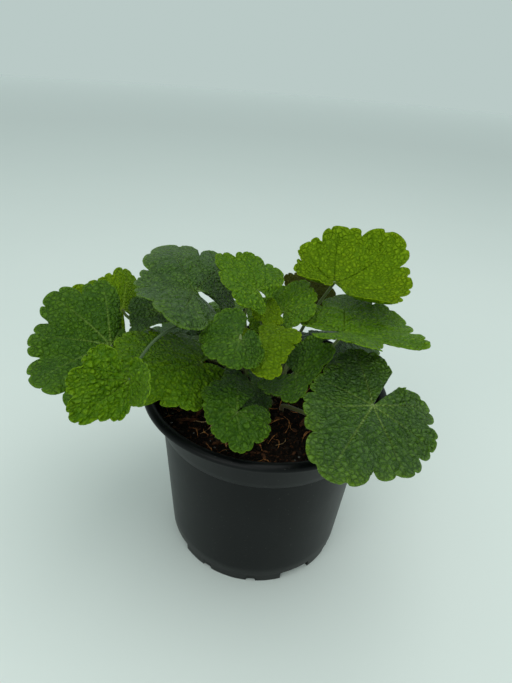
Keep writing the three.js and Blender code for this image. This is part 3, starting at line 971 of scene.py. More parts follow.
    def traced(self, point: np.ndarray, heading: float, draw: random.Random, lobe: int) -> np.ndarray:
        """Follows a wavering side vein outwards until it leaves its lobe or nears the margin.

        Args:
            point: Where it leaves the main vein.
            heading: Its first direction, in radians.
            draw: Gives how much it turns at each step.
            lobe: The lobe that it stays in.

        Returns:
            The points that it passes.
        """
        step = 1.6 * MM
        path = [point]
        for _ in range(18):
            heading += draw.uniform(-0.28, 0.28)
            point = point + step * np.array([math.cos(heading), math.sin(heading)])
            turn = math.degrees(math.atan2(point[1], point[0]))
            place = turn / (self.left if turn > 0 else self.right) * LOBES_PER_SIDE
            if abs(place - lobe) > 0.56 or abs(place) > LOBES_PER_SIDE - 0.05:
                break
            if np.hypot(*point) > 0.95 * float(self.margin_radius(np.array([place]))[0]):
                break
            path.append(point)
        return np.array(path)

    def net_edges(self, flat: np.ndarray) -> Row:
        """How near each point is to the fine net between the veins, 1 on the net itself."""
        draw = np.random.default_rng(self.seed + 5)
        pitch = (2.4 + 0.03 * self.size) * MM
        reach = 1.5 * self.size * MM
        axis = np.arange(-reach, reach, pitch)
        grid = np.stack(np.meshgrid(axis, axis), axis=-1).reshape(-1, 2)
        grid = grid + draw.uniform(-0.45, 0.45, grid.shape) * pitch
        near = np.empty((len(flat), 2))
        for start in range(0, len(flat), 1500):
            part = flat[start : start + 1500]
            gap = ((part[:, None, :] - grid[None, :, :]) ** 2).sum(axis=2)
            near[start : start + 1500] = np.sqrt(np.partition(gap, 1, axis=1)[:, :2])
        return np.clip(1 - (near[:, 1] - near[:, 0]) / (0.62 * pitch), 0, 1)

    def blade(self) -> Piece:
        """Models the blade: a fan of cells laid out by the blade's formula, with its relief.

        Returns:
            A closed thin shell.
        """
        per_lobe, rows = YOUNG_CELLS if self.young else GROWN_CELLS
        columns = round(2 * LOBES_PER_SIDE * per_lobe)

        def spread(across: Row, along: Row) -> np.ndarray:
            return self.bent((2 * across - 1) * LOBES_PER_SIDE, outward(along))

        def outward(along: Row) -> Row:
            return 0.55 * along + 0.45 * np.sin(along * np.pi / 2)

        piece, across, along = mapped_grid(self.name, columns, rows, spread)
        place, reach = (2 * across - 1) * LOBES_PER_SIDE, outward(along)
        flat = self.flat(place, reach)
        length = self.size * MM
        main, main_gap = vein_field(flat, self.main_veins(), 0.6 * MM, 0.4 * MM)
        side, side_gap = vein_field(flat, self.side_veins(), 0.5 * MM, 0.35 * MM)
        gap = np.minimum(main_gap, side_gap)
        net = self.net_edges(flat)
        calm = 0.5 + 0.5 * self.clouds(flat, 22, 4.1)
        quilt = 1 - np.exp(-gap / (2.0 * MM))
        rise = length / (50 * MM) * (1.5 * MM * quilt * calm - 0.45 * MM * main * (1 - 0.6 * reach))
        rise += 0.7 * MM * (1 - net) * calm * np.clip(gap / (1.2 * MM), 0, 1)
        rise *= self.relief * np.clip(reach / 0.12, 0, 1)
        rise += self.wave * MM * reach**3 * np.sin(place * 5.2 + self.seed) * length / (50 * MM)
        normals = np.zeros(len(flat) * 3)
        piece.data.vertices.foreach_get("normal", normals)
        normals = normals.reshape(-1, 3)
        if (normals @ self.axes[2]).mean() < 0:
            normals = -normals
        points = spread(across, along) + normals * (rise - 0.35 * MM)[:, None]
        if self.cuff:
            points = points + self.curled(place, reach, flat, normals)
        piece.data.vertices.foreach_set("co", points.ravel())
        rim = np.clip((reach - 0.96) / 0.03, 0, 1)
        fading = np.clip(1.3 - 1.15 * reach, 0, 1)
        # Purer green towards the margin, as painted light where curled edges catch no sheen, plus a random
        # wander of tint.
        tint_and_sheenless_rim = np.clip(0.35 * reach**4 + 0.35 * self.clouds(flat, 16, 7.3), 0, 0.7)
        for name, values in (
            ("main_vein", main * fading), ("side_vein", side), ("rim", rim), ("tint_and_sheenless_rim", tint_and_sheenless_rim),
        ):
            keep(piece, name, values)
        self.chart(piece, flat)
        weld(piece)
        self.face_up(piece)
        shell = piece.modifiers.new("shell", "SOLIDIFY")
        shell.thickness = self.thickness
        shell.offset = 0
        shell.material_offset = 1
        shell.material_offset_rim = 2
        return apply_modifiers(piece)

    def curled(self, place: Row, reach: Row, flat: np.ndarray, normals: np.ndarray) -> np.ndarray:
        """How far the strip along the right of the sinus is shifted where it curls up and over.

        Args:
            place: The place round the margin, in lobes.
            reach: How far out each point is.
            flat: The points on the unrolled blade.
            normals: The upper face's directions.

        Returns:
            One shift for each point, zero outside the strip.
        """
        radius = np.hypot(flat[:, 0], flat[:, 1])
        from_edge = radius * np.sin(np.clip(math.radians(self.right) + self.turn(place), 0, math.pi / 2))
        width = self.cuff * MM * np.sin(np.pi * np.clip(reach, 0, 1) ** 0.6) ** 0.5 + 0.01 * MM
        along = np.clip(width - from_edge, 0, width)
        angle = CUFF_CURL * along / width
        bow = width / CUFF_CURL
        step = 0.02
        outward = self.bent(place - step, reach) - self.bent(place + step, reach)
        outward = outward / (np.linalg.norm(outward, axis=1)[:, None] + 1e-9)
        pulled_in = outward * (bow * np.sin(angle) - along)[:, None]
        return pulled_in + normals * (bow * (1 - np.cos(angle)))[:, None]

    def clouds(self, flat: np.ndarray, width: float, slice_step: float) -> Row:
        """Soft patches on the unrolled blade.

        Args:
            flat: The points on the unrolled blade.
            width: How wide the patches are, in millimetres.
            slice_step: Sets one set of patches apart from another.

        Returns:
            One value for each point, mostly from -1 to 1.
        """
        depth = self.seed * slice_step
        return np.array([1.6 * noise.noise(Vector((x, y, depth))) for x, y in flat / (width * MM)])

    def chart(self, piece: Piece, flat: np.ndarray) -> None:
        """Keeps the unrolled blade as a UV map, in centimetres, with its own offset for each leaf."""
        for layer in list(piece.data.uv_layers):
            piece.data.uv_layers.remove(layer)
        layer = piece.data.uv_layers.new(name="blade")
        corners = np.zeros(len(piece.data.loops), dtype=np.int32)
        piece.data.loops.foreach_get("vertex_index", corners)
        places = flat[corners] / (10 * MM) + 17.3 * self.seed
        layer.data.foreach_set("uv", places.ravel())

    def face_up(self, piece: Piece) -> None:
        """Turns the open blade's faces towards its upper side, before it gets its thickness."""
        facing = sum(Vector(self.axes[2]).dot(face.normal) * face.area for face in piece.data.polygons)
        if facing < 0:
            edited(piece, bpy.ops.mesh.flip_normals)

    def stalk_line(self) -> list[Vector]:
        """The stalk's course: its foot, its neck, the two bends after it, and its end in the blade."""
        x, y = self.root
        foot = Vector((x * MM, y * MM, MIX_LEVEL - STALK_SOCKET_DEPTH))
        neck = Vector((x * MM, y * MM, MIX_LEVEL + STALK_NECK))
        up = Vector(self.axes[2])
        end = Vector(self.at) * MM - STALK_SINK * up
        span = (end - neck).length
        tuck = math.radians(self.tuck)
        arrive = -Vector(self.axes[0]) * math.cos(tuck) - up * math.sin(tuck)
        lower = neck + Vector((0, 0, span * self.rise))
        upper = end + arrive * span * self.reach + Vector(self.sweep) * MM
        return [foot, neck, lower, upper, end]

    def stalk(self) -> Piece:
        """Models the stalk as a round rod along a curve, thicker at its foot.

        Returns:
            A closed rod.
        """
        foot, neck, lower, upper, end = self.stalk_line()
        rod = added(bpy.ops.curve.primitive_bezier_curve_add)
        line = rod.data
        line.dimensions = "3D"
        line.resolution_u = 22
        line.bevel_depth = self.stalk_radius
        line.bevel_resolution = 3
        line.use_fill_caps = True
        spline = line.splines[0]
        spline.bezier_points.add(1)
        stops = ((foot, foot, neck), (neck, foot, lower), (end, upper, end))
        for knot, (spot, before, after) in zip(spline.bezier_points, stops):
            knot.handle_left_type = knot.handle_right_type = "FREE"
            knot.co, knot.handle_left, knot.handle_right = spot, before, after
        for knot, width in zip(spline.bezier_points, (1.25, 1.15, 0.85)):
            knot.radius = width
        settle(rod)
        bpy.ops.object.convert(target="MESH")
        rod = weld(bpy.context.active_object)
        heights = np.array([v.co.z for v in rod.data.vertices])
        keep(rod, "foot", np.clip(1 - (heights - MIX_LEVEL) / (22 * MM), 0, 1) ** 1.5)
        return rod

    def hairs(self, blade: Piece, stalk: Piece) -> Piece:
        """Sets fine hairs on the stalk, the margin and the upper face.

        Args:
            blade: The finished blade.
            stalk: The finished stalk.

        Returns:
            All hairs in one object.
        """
        draw = random.Random(self.seed + 3)
        placings = []
        rim = [point.value for point in blade.data.attributes["rim"].data]
        for body, count, tilt in ((stalk, STALK_HAIRS, 0.35), (blade, BLADE_HAIRS, 0.5)):
            spots = body.data.vertices
            for _ in range(count):
                spot = spots[draw.randrange(len(spots))]
                if body is blade and rim[spot.index] < 0.2 and draw.random() < 0.45:
                    continue
                lean = Vector(draw.uniform(-1, 1) for _ in range(3)) * tilt
                placing = basis(spot.co - spot.normal * 0.05 * MM, (spot.normal + lean).normalized())
                placings.append(placing @ Matrix.Scale(draw.uniform(0.5, 1.15), 4))
        pattern = added(
            bpy.ops.mesh.primitive_cone_add, vertices=3, radius1=HAIR_RADIUS, radius2=0, depth=HAIR_LENGTH
        )
        pattern.data.transform(Matrix.Translation((0, 0, HAIR_LENGTH / 2)))
        return scattered(self.name + "_hairs", pattern, placings)

    def build(self, dressing: "LeafDressing") -> Piece:
        """Makes the whole leaf and hands it in.

        Args:
            dressing: The materials of blades, stalks and hairs.

        Returns:
            The finished leaf.
        """
        blade, stalk = smooth(self.blade(), 60), smooth(self.stalk(), 60)
        hairs = self.hairs(blade, stalk)
        for piece, materials in (
            (blade, dressing.blade(self.tone, self.veins)),
            (stalk, [dressing.shaded_stalk if self.shaded_stalk else dressing.stalk]),
            (hairs, [dressing.hair]),
        ):
            dressed(piece, *materials)
        whole = joined([blade, stalk, hairs], self.name + "_grown")
        return hand_in(whole, self.tone.slot, self.name)


def keep(piece: Piece, name: str, values: Row) -> None:
    """Stores one value for each point of a mesh under a name."""
    stored = piece.data.attributes.new(name, "FLOAT", "POINT")
    stored.data.foreach_set("value", values.astype(np.float32))


def segments(veins: list[np.ndarray]) -> tuple[np.ndarray, np.ndarray, Row]:
    """Splits veins into straight stretches.

    Args:
        veins: Rows of points.

    Returns:
        The stretches' starts, their ends, and how far along its vein each one lies, from 0 to 1.
    """
    starts = np.concatenate([vein[:-1] for vein in veins])
    ends = np.concatenate([vein[1:] for vein in veins])
    shares = np.concatenate([np.linspace(0, 1, len(vein) - 1) for vein in veins])
    return starts, ends, shares


def vein_field(flat: np.ndarray, veins: list[np.ndarray], thick: float, thin: float) -> tuple[Row, Row]:
    """How the points lie to a set of veins.

    Args:
        flat: The points on the unrolled blade.
        veins: The veins on the unrolled blade.
        thick: The veins' width where they start, in metres.
        thin: Their width where they end, in metres.

    Returns:
        How much each point lies on a vein, 1 on its middle line, and its distance to the nearest one.
    """
    starts, ends, shares = segments(veins)
    best = np.zeros(len(flat))
    nearest = np.full(len(flat), 1.0)
    for start, end, share in zip(starts, ends, shares):
        way = end - start
        shift = flat - start
        along = np.clip(shift @ way / (way @ way + 1e-12), 0, 1)
        gap = np.hypot(shift[:, 0] - along * way[0], shift[:, 1] - along * way[1])
        width = thick + (thin - thick) * share
        best = np.maximum(best, (1 - 0.5 * share) * np.exp(-((gap / width) ** 2)))
        nearest = np.minimum(nearest, gap)
    return best, nearest


class LeafDressing:
    """The materials that all leaves share, each made once."""

    def __init__(self) -> None:
        """Makes the stalk and hair materials, and starts with no blade made."""
        finish = StalkFinish()
        self.stalk = finish.skin("stalk_skin")
        self.shaded_stalk = SHADED_STALK.skin("shaded_stalk_skin")
        self.hair = finish.hairs("leaf_hairs")
        self.made: dict[tuple[LeafTone, VeinLook], list[Material]] = {}

    def blade(self, tone: LeafTone, veins: VeinLook) -> list[Material]:
        """The materials of a blade's upper face, underside and edge.

        Args:
            tone: The blade's green.
            veins: How its main veins show.

        Returns:
            The three materials.
        """
        if (tone, veins) not in self.made:
            finish = BLADES[tone]
            if veins is VeinLook.FAINT:
                finish = replace(finish, vein_share=FAINT_VEIN_SHARE)
            # Painted backlight: the face is made lighter for light shining through, and the veins and net
            # darker for the shade they cast in it.
            if veins is VeinLook.DARK:
                light = tuple(BACKLIT_FACE_GAIN * part for part in finish.face)
                dark = tuple(BACKLIT_VEIN_SHADE * part for part in finish.deep)
                finish = replace(finish, face=light, vein=dark, net_share=BACKLIT_NET_SHADE)
            name = f"{tone.slot}_{veins.value}"
            self.made[tone, veins] = [
                finish.upper(name + "_upper"), finish.lower(name + "_lower"), finish.edge(name + "_edge"),
            ]
        return self.made[tone, veins]


# Every leaf. From at to sweep the values repeat those of the solids, but for the notch of leaf_top_left.
# Most of them came out of a program that fitted the leaves to the photo, not out of a choice by hand.
LEAVES = [
    Leaf(
        "leaf_left_outer", LeafTone.MID, at=(-101, -22, 161), heading=199, pitch=21, roll=-25,
        size=54, lobes=(0.3, 0.9, 1, 0.9, 1, 1.1, 0.9), right=134, left=150,
        droop=-23, nod=-11, vee=22, root=(-16, -5), tuck=45, rise=0.3,
        reach=0.6, sweep=(-3, -26, -10), relief=0.6, lobe_cut=0.08, veins=VeinLook.PALE,
    ),
    Leaf(
        "leaf_left_lower", LeafTone.BRIGHT, at=(-73, -73, 172), heading=262, pitch=-70, roll=18,
        size=31, lobes=(0.85, 1.05, 1.2, 0.75, 0.6, 1.3, 0.5), right=149, left=178,
        droop=22, nod=27, vee=26, root=(-20, -11), tuck=20, rise=0.55,
        reach=0.45, sweep=(6, 10, 9), relief=1.5, shaded_stalk=True,
    ),
    Leaf(
        "leaf_left_broad", LeafTone.BRIGHT, at=(-42, -27, 158), heading=231, pitch=12, roll=-18,
        size=50, lobes=(0.8, 0.85, 1.1, 1.25, 0.8, 0.65, 0.85), right=175, left=146,
        droop=-21, nod=2, vee=-2, root=(-12, -2), tuck=60, rise=0.3,
        reach=0.35, sweep=(2, 6, -8),
    ),
    Leaf(
        "leaf_left_back", LeafTone.LIME, at=(-107, 23, 164), heading=145, pitch=39, roll=-2,
        size=37, lobes=(0.5, 0.7, 1.15, 0.8, 1.05, 1.15, 0.85), right=149, left=158,
        droop=-15, nod=6, vee=-11, root=(-23, 4), tuck=35, rise=0.3,
        reach=0.15, sweep=(0, -2, -2), relief=0.6, veins=VeinLook.PALE,
    ),
    # Its dark green is partly painted shade, for the shadow of the leaves above it.
    Leaf(
        "leaf_left_shaded", LeafTone.DARK, at=(-78, 15, 168), heading=198, pitch=-17, roll=-8,
        size=27, lobes=(0.8, 0.95, 1, 0.8, 1.05, 0.8, 0.95), right=173, left=166,
        droop=-2, nod=6, vee=17, root=(-15, 7), tuck=40, rise=0.4,
        reach=0.4, sweep=(10, -4, -3),
    ),
    Leaf(
        "leaf_top_left", LeafTone.DARK, at=(-53, 7, 190), heading=173, pitch=20, roll=1,
        size=53, lobes=(0.6, 1.1, 1.2, 0.75, 0.75, 1.15, 0.5), right=181, left=173,
        droop=-28, nod=-7, vee=22, root=(-10, 5), tuck=55, rise=0.4,
        reach=0.35, sweep=(-5, -5, -4), cuff=5.5, lobe_cut=0.1,
    ),
    Leaf(
        "leaf_top_middle", LeafTone.BRIGHT, at=(-11, 11, 194), heading=161, pitch=30, roll=-6,
        size=29, lobes=(0.4, 1.15, 1.15, 1.25, 0.95, 0.85, 0.7), right=167, left=151,
        droop=-12, nod=11, vee=7, root=(-5, 18), tuck=85, rise=0.25,
        reach=0.25, sweep=(-13, -10, -7),
    ),
    Leaf(
        "leaf_middle", LeafTone.MID, at=(-17, -43, 186), heading=261, pitch=-14, roll=-15,
        size=25, lobes=(1.15, 1.05, 0.9, 0.9, 0.75, 0.75, 0.6), right=178, left=167,
        droop=-2, nod=-3, vee=-24, root=(-13, -12), tuck=5, rise=0.55,
        reach=0.8, sweep=(-11, 5, 2),
    ),
    Leaf(
        "leaf_young_pleated", LeafTone.LIME, at=(-7, -21, 175), heading=285, pitch=-3, roll=2,
        size=28, lobes=(0.75, 0.8, 0.9, 1.25, 0.8, 1, 0.8), right=164, left=170,
        droop=-11, nod=-6, vee=6, root=(5, -8), tuck=60, rise=0.3,
        reach=0.3, sweep=(-4, 0, 8),
    ),
    Leaf(
        "leaf_young_small", LeafTone.LIME, at=(-5, 15, 179), heading=284, pitch=-25, roll=-11,
        size=14, lobes=(0.8, 0.8, 0.9, 1.05, 1.1, 0.8, 0.9), right=170, left=165,
        droop=-4, nod=2, vee=-1, root=(2, 10), tuck=45, rise=0.5,
        reach=0.2, sweep=(-8, -4, 7),
    ),
    Leaf(
        "leaf_back_middle", LeafTone.BRIGHT, at=(8, 30, 171), heading=65, pitch=32, roll=-14,
        size=29, lobes=(0.7, 0.95, 0.9, 1.1, 0.85, 0.85, 0.95), right=165, left=165,
        droop=-3, nod=-3, vee=10, root=(0, 14), tuck=45, rise=0.45,
        reach=0.35, sweep=(0, 9, -5),
    ),
    Leaf(
        "leaf_top_right", LeafTone.LIME, at=(42, 44, 191), heading=89, pitch=8, roll=5,
        size=52, lobes=(1, 1.05, 1.35, 1, 0.75, 0.6, 0.3), right=163, left=159,
        droop=44, nod=7, vee=-12, root=(12, 4), tuck=110, rise=0.4,
        reach=0.6, sweep=(-11, 7, -4), veins=VeinLook.DARK, lobe_cut=0.08,
    ),
    Leaf(
        "leaf_right_folded", LeafTone.BRIGHT, at=(47, -3, 176), heading=-9, pitch=9, roll=-10,
        size=54, lobes=(0.65, 1.15, 0.6, 1, 1, 1.15, 0.7), right=134, left=168,
        droop=-8, nod=-10, vee=15, root=(14, 0), tuck=55, rise=0.35,
        reach=0.4, sweep=(-4, -1, -9), lobe_cut=0.08,
    ),
    Leaf(
        "leaf_front_right", LeafTone.DARK, at=(60, -63, 164), heading=243, pitch=-3, roll=-11,
        size=50, lobes=(1.1, 0.75, 0.8, 1.25, 0.9, 0.8, 0.8), right=178.5, left=164.5,
        droop=-4, nod=1, vee=-8, root=(12, -20), tuck=60, rise=0.1,
        reach=0.45, sweep=(-9, -5, -13), relief=1.3, lobe_cut=0.08, veins=VeinLook.PALE,
    ),
    Leaf(
        "leaf_front", LeafTone.MID, at=(-15, -66, 152), heading=241, pitch=-11, roll=-18,
        size=26, lobes=(1.3, 1, 0.7, 0.7, 0.9, 0.85, 0.85), right=178, left=164,
        droop=-38, nod=-1, vee=12, root=(-5, -21), tuck=70, rise=0.2,
        reach=0.6, sweep=(7, -18, -6),
    ),
    # Its dark green is partly painted shade, for the shadow of the leaves in front of it.
    Leaf(
        "leaf_front_shaded", LeafTone.DARK, at=(-9, -25, 144), heading=312, pitch=-32, roll=-21,
        size=26, lobes=(0.8, 1.05, 0.85, 1, 0.75, 0.7, 0.55), right=164, left=159,
        droop=-19, nod=0, vee=3, root=(5, -16), tuck=45, rise=0.2,
        reach=0.6, sweep=(-5, 0, 9),
    ),
    Leaf(
        "leaf_right_inner", LeafTone.MID, at=(18, -27, 156), heading=313, pitch=19, roll=29,
        size=32, lobes=(0.8, 0.75, 1, 0.55, 0.95, 0.9, 0.85), right=162, left=159,
        droop=10, nod=2, vee=11, root=(10, -8), tuck=50, rise=0.45,
        reach=0.25, sweep=(7, -1, 0),
    ),
    Leaf(
        "leaf_rear_olive", LeafTone.OLIVE, at=(28, 73, 166), heading=74, pitch=21, roll=30,
        size=25, lobes=(0.75, 1.05, 1, 1.05, 0.85, 1.05, 0.7), right=162, left=167,
        droop=-9, nod=6, vee=12, root=(11, 14), tuck=60, rise=0.45,
        reach=0.35, sweep=(-6, -2, 0),
    ),
    Leaf(
        "leaf_rear_left", LeafTone.MID, at=(-66, 29, 140), heading=148, pitch=-8, roll=-4,
        size=50, lobes=(0.8, 0.9, 1.05, 0.95, 0.95, 0.9, 0.9), right=160, left=164,
        droop=-17, nod=5, vee=0, root=(-15, 17), tuck=55, rise=0.15,
        reach=0.35, sweep=(5, -4, -3),
    ),
    Leaf(
        "leaf_rear_middle", LeafTone.BRIGHT, at=(-22, 63, 155), heading=89, pitch=-9, roll=6,
        size=42, lobes=(0.75, 0.9, 0.9, 1.05, 0.9, 0.85, 0.9), right=166, left=168,
        droop=-25, nod=2, vee=-2, root=(-8, 14), tuck=100, rise=0.35,
        reach=0.35, sweep=(-6, 1, 0),
    ),
    Leaf(
        "leaf_rear_right", LeafTone.DARK, at=(56, 45, 145), heading=42, pitch=-10, roll=4,
        size=42, lobes=(0.95, 0.95, 0.75, 1.05, 1, 0.7, 0.9), right=166, left=164,
        droop=-19, nod=2, vee=-7, root=(11, 9), tuck=45, rise=0.35,
        reach=0.35, sweep=(-10, 4, -3),
    ),
]


# The pot


@dataclass
class NurseryPot:
    """A round black pot of thin moulded plastic, with a collar, a rolled lip and drain cut-outs."""

    rim_radius: float = 85 * MM
    height: float = 130 * MM
    lip_width: float = 6 * MM
    lip_depth: float = 4 * MM
    collar_top_radius: float = 79 * MM
    collar_foot_radius: float = 72.6 * MM
    collar_height: float = 28 * MM
    collar_step: float = 0.8 * MM
    body_foot_radius: float = 65.4 * MM
    wall: float = 1.6 * MM
    floor: float = 2.5 * MM
    base_ring_radius: float = 64.2 * MM
    base_ring_height: float = 8 * MM
    drain_cuts: int = 12
    drain_phase: float = 212
    wide_cut: tuple[float, float] = (21, 8 * MM)
    narrow_cut: tuple[float, float] = (6, 3 * MM)
    cut_depth: float = 7 * MM
    sides: int = 160
    finish: PotFinish = PotFinish()

    @property
    def collar_foot(self) -> float:
        """The height where the collar starts."""
        return self.height - self.collar_height

    def outside(self) -> list[Pair]:
        """Radius and height along the outer wall, from the foot up to the lip's inner edge."""
        body_top = self.collar_foot_radius - self.collar_step
        lip = self.height - self.lip_depth
        points = [
            (self.base_ring_radius - 1.0 * MM, 0),
            (self.base_ring_radius - 0.3 * MM, 0.25 * MM),
            (self.base_ring_radius, 1.0 * MM),
            (self.base_ring_radius + 0.3 * MM, self.base_ring_height - 0.5 * MM),
            (self.base_ring_radius + 0.5 * MM, self.base_ring_height - 0.1 * MM),
            (self.body_foot_radius - 0.15 * MM, self.base_ring_height),
            (self.body_foot_radius, self.base_ring_height + 0.25 * MM),
        ]
        for step in range(1, 12):
            share = step / 12
            points.append((
                self.body_foot_radius + share * (body_top - self.body_foot_radius),
                self.base_ring_height + share * (self.collar_foot - self.base_ring_height),
            ))
        points += [
            (body_top - 0.02 * MM, self.collar_foot - self.collar_step),
            (self.collar_foot_radius - 0.2 * MM, self.collar_foot - 0.25 * MM),
            (self.collar_foot_radius, self.collar_foot + 0.1 * MM),
        ]
        for step in range(1, 5):
            share = step / 5
            points.append((
                self.collar_foot_radius + share * (self.collar_top_radius - self.collar_foot_radius),
                self.collar_foot + share * (lip - self.collar_foot),
            ))
        points += [
            (self.collar_top_radius, lip - 0.3 * MM),
            (self.collar_top_radius + 0.6 * MM, lip),
            (self.rim_radius - 1.4 * MM, lip - 0.4 * MM),
            (self.rim_radius - 0.4 * MM, lip),
            (self.rim_radius, lip + 1.0 * MM),
            (self.rim_radius - 0.1 * MM, lip + 2.0 * MM),
            (self.rim_radius - 0.7 * MM, self.height - 1.0 * MM),
            (self.rim_radius - 1.8 * MM, self.height - 0.25 * MM),
            (self.rim_radius - 3.2 * MM, self.height),
            (self.rim_radius - 4.8 * MM, self.height - 0.2 * MM),
            (self.rim_radius - self.lip_width, self.height - 0.9 * MM),
            (self.rim_radius - self.lip_width - 0.7 * MM, self.height - 2.0 * MM),
        ]
        return points

    def inside(self) -> list[Pair]:
        """Radius and height along the inner wall, from the lip down to the floor."""
        lip = self.height - self.lip_depth
        body_top = self.collar_foot_radius - self.collar_step
        return [
            (self.collar_top_radius - 0.8 * MM, lip),
            (self.collar_top_radius - self.wall - 0.2 * MM, lip - 3.0 * MM),
            (self.collar_foot_radius - self.wall, self.collar_foot + 1.0 * MM),
            (body_top - self.wall, self.collar_foot - 1.0 * MM),
            (self.body_foot_radius - self.wall, self.floor + 2.5 * MM),
            (self.body_foot_radius - self.wall - 2.5 * MM, self.floor),
            (20 * MM, self.floor),
        ]

    def cutters(self) -> Piece:
        """Blocks with rounded corners, where water drains out round the foot.

        Returns:
            All blocks in one object.
        """
        blocks = []
        for count in range(self.drain_cuts):
            angle, height = self.wide_cut if count % 3 == 0 else self.narrow_cut
            turn = math.radians(self.drain_phase) + count * TURN / self.drain_cuts
            width = 2 * self.body_foot_radius * math.sin(math.radians(angle / 2))
            reach = self.body_foot_radius - self.cut_depth / 2 + 1.5 * MM
            spot = (*round_about(reach, turn), 0)
            block = added(bpy.ops.mesh.primitive_cube_add, size=1, location=spot, rotation=(0, 0, turn))
            block.scale = (self.cut_depth, width, 2 * height)
            settle(block)
            soft = block.modifiers.new("soft", "BEVEL")
            soft.width = 1.6 * MM
            soft.segments = 3
            blocks.append(apply_modifiers(block))
        return joined(blocks, "drain_cutters")

    def build(self) -> Piece:
        """Models the pot and hands it in.

        Returns:
            The finished pot.
        """
        bottom = [(20 * MM, 0)]
        pot = turned("pot_shell", bottom + self.outside() + self.inside(), self.sides)
        cutters = self.cutters()
        cut = pot.modifiers.new("drains", "BOOLEAN")
        cut.operation = "DIFFERENCE"
        cut.object = cutters
        cut.solver = "EXACT"
        apply_modifiers(pot)
        bpy.data.objects.remove(cutters)
        smooth(pot, 35)
        pot.data.materials.clear()
        return hand_in(dressed(pot, self.finish.plastic("pot_plastic")), "pot_plastic", "nursery_pot")


# The potting mix


@dataclass(frozen=True)
class BarkSpread:
    """Where the bark chips lie and how big they are, as in the solid, in millimetres and degrees.

    A chip lies between nearest and nearest + spread from the axis. It is from shortest to shortest +
    longer long, and from narrowest to narrowest + wider wide. lean and tip are the most that it tilts
    either way. It stays wall_gap off the mix's edge and sits sink deep in the ground.
    """

    seed: int = 41
    count: int = 30
    nearest: float = 26
    spread: float = 44
    shortest: float = 5
    longer: float = 9
    narrowest: float = 1
    wider: float = 1.6
    depth: float = 2.4
    lean: float = 10
    tip: float = 8
    wall_gap: float = 1.2
    sink: float = 0.2


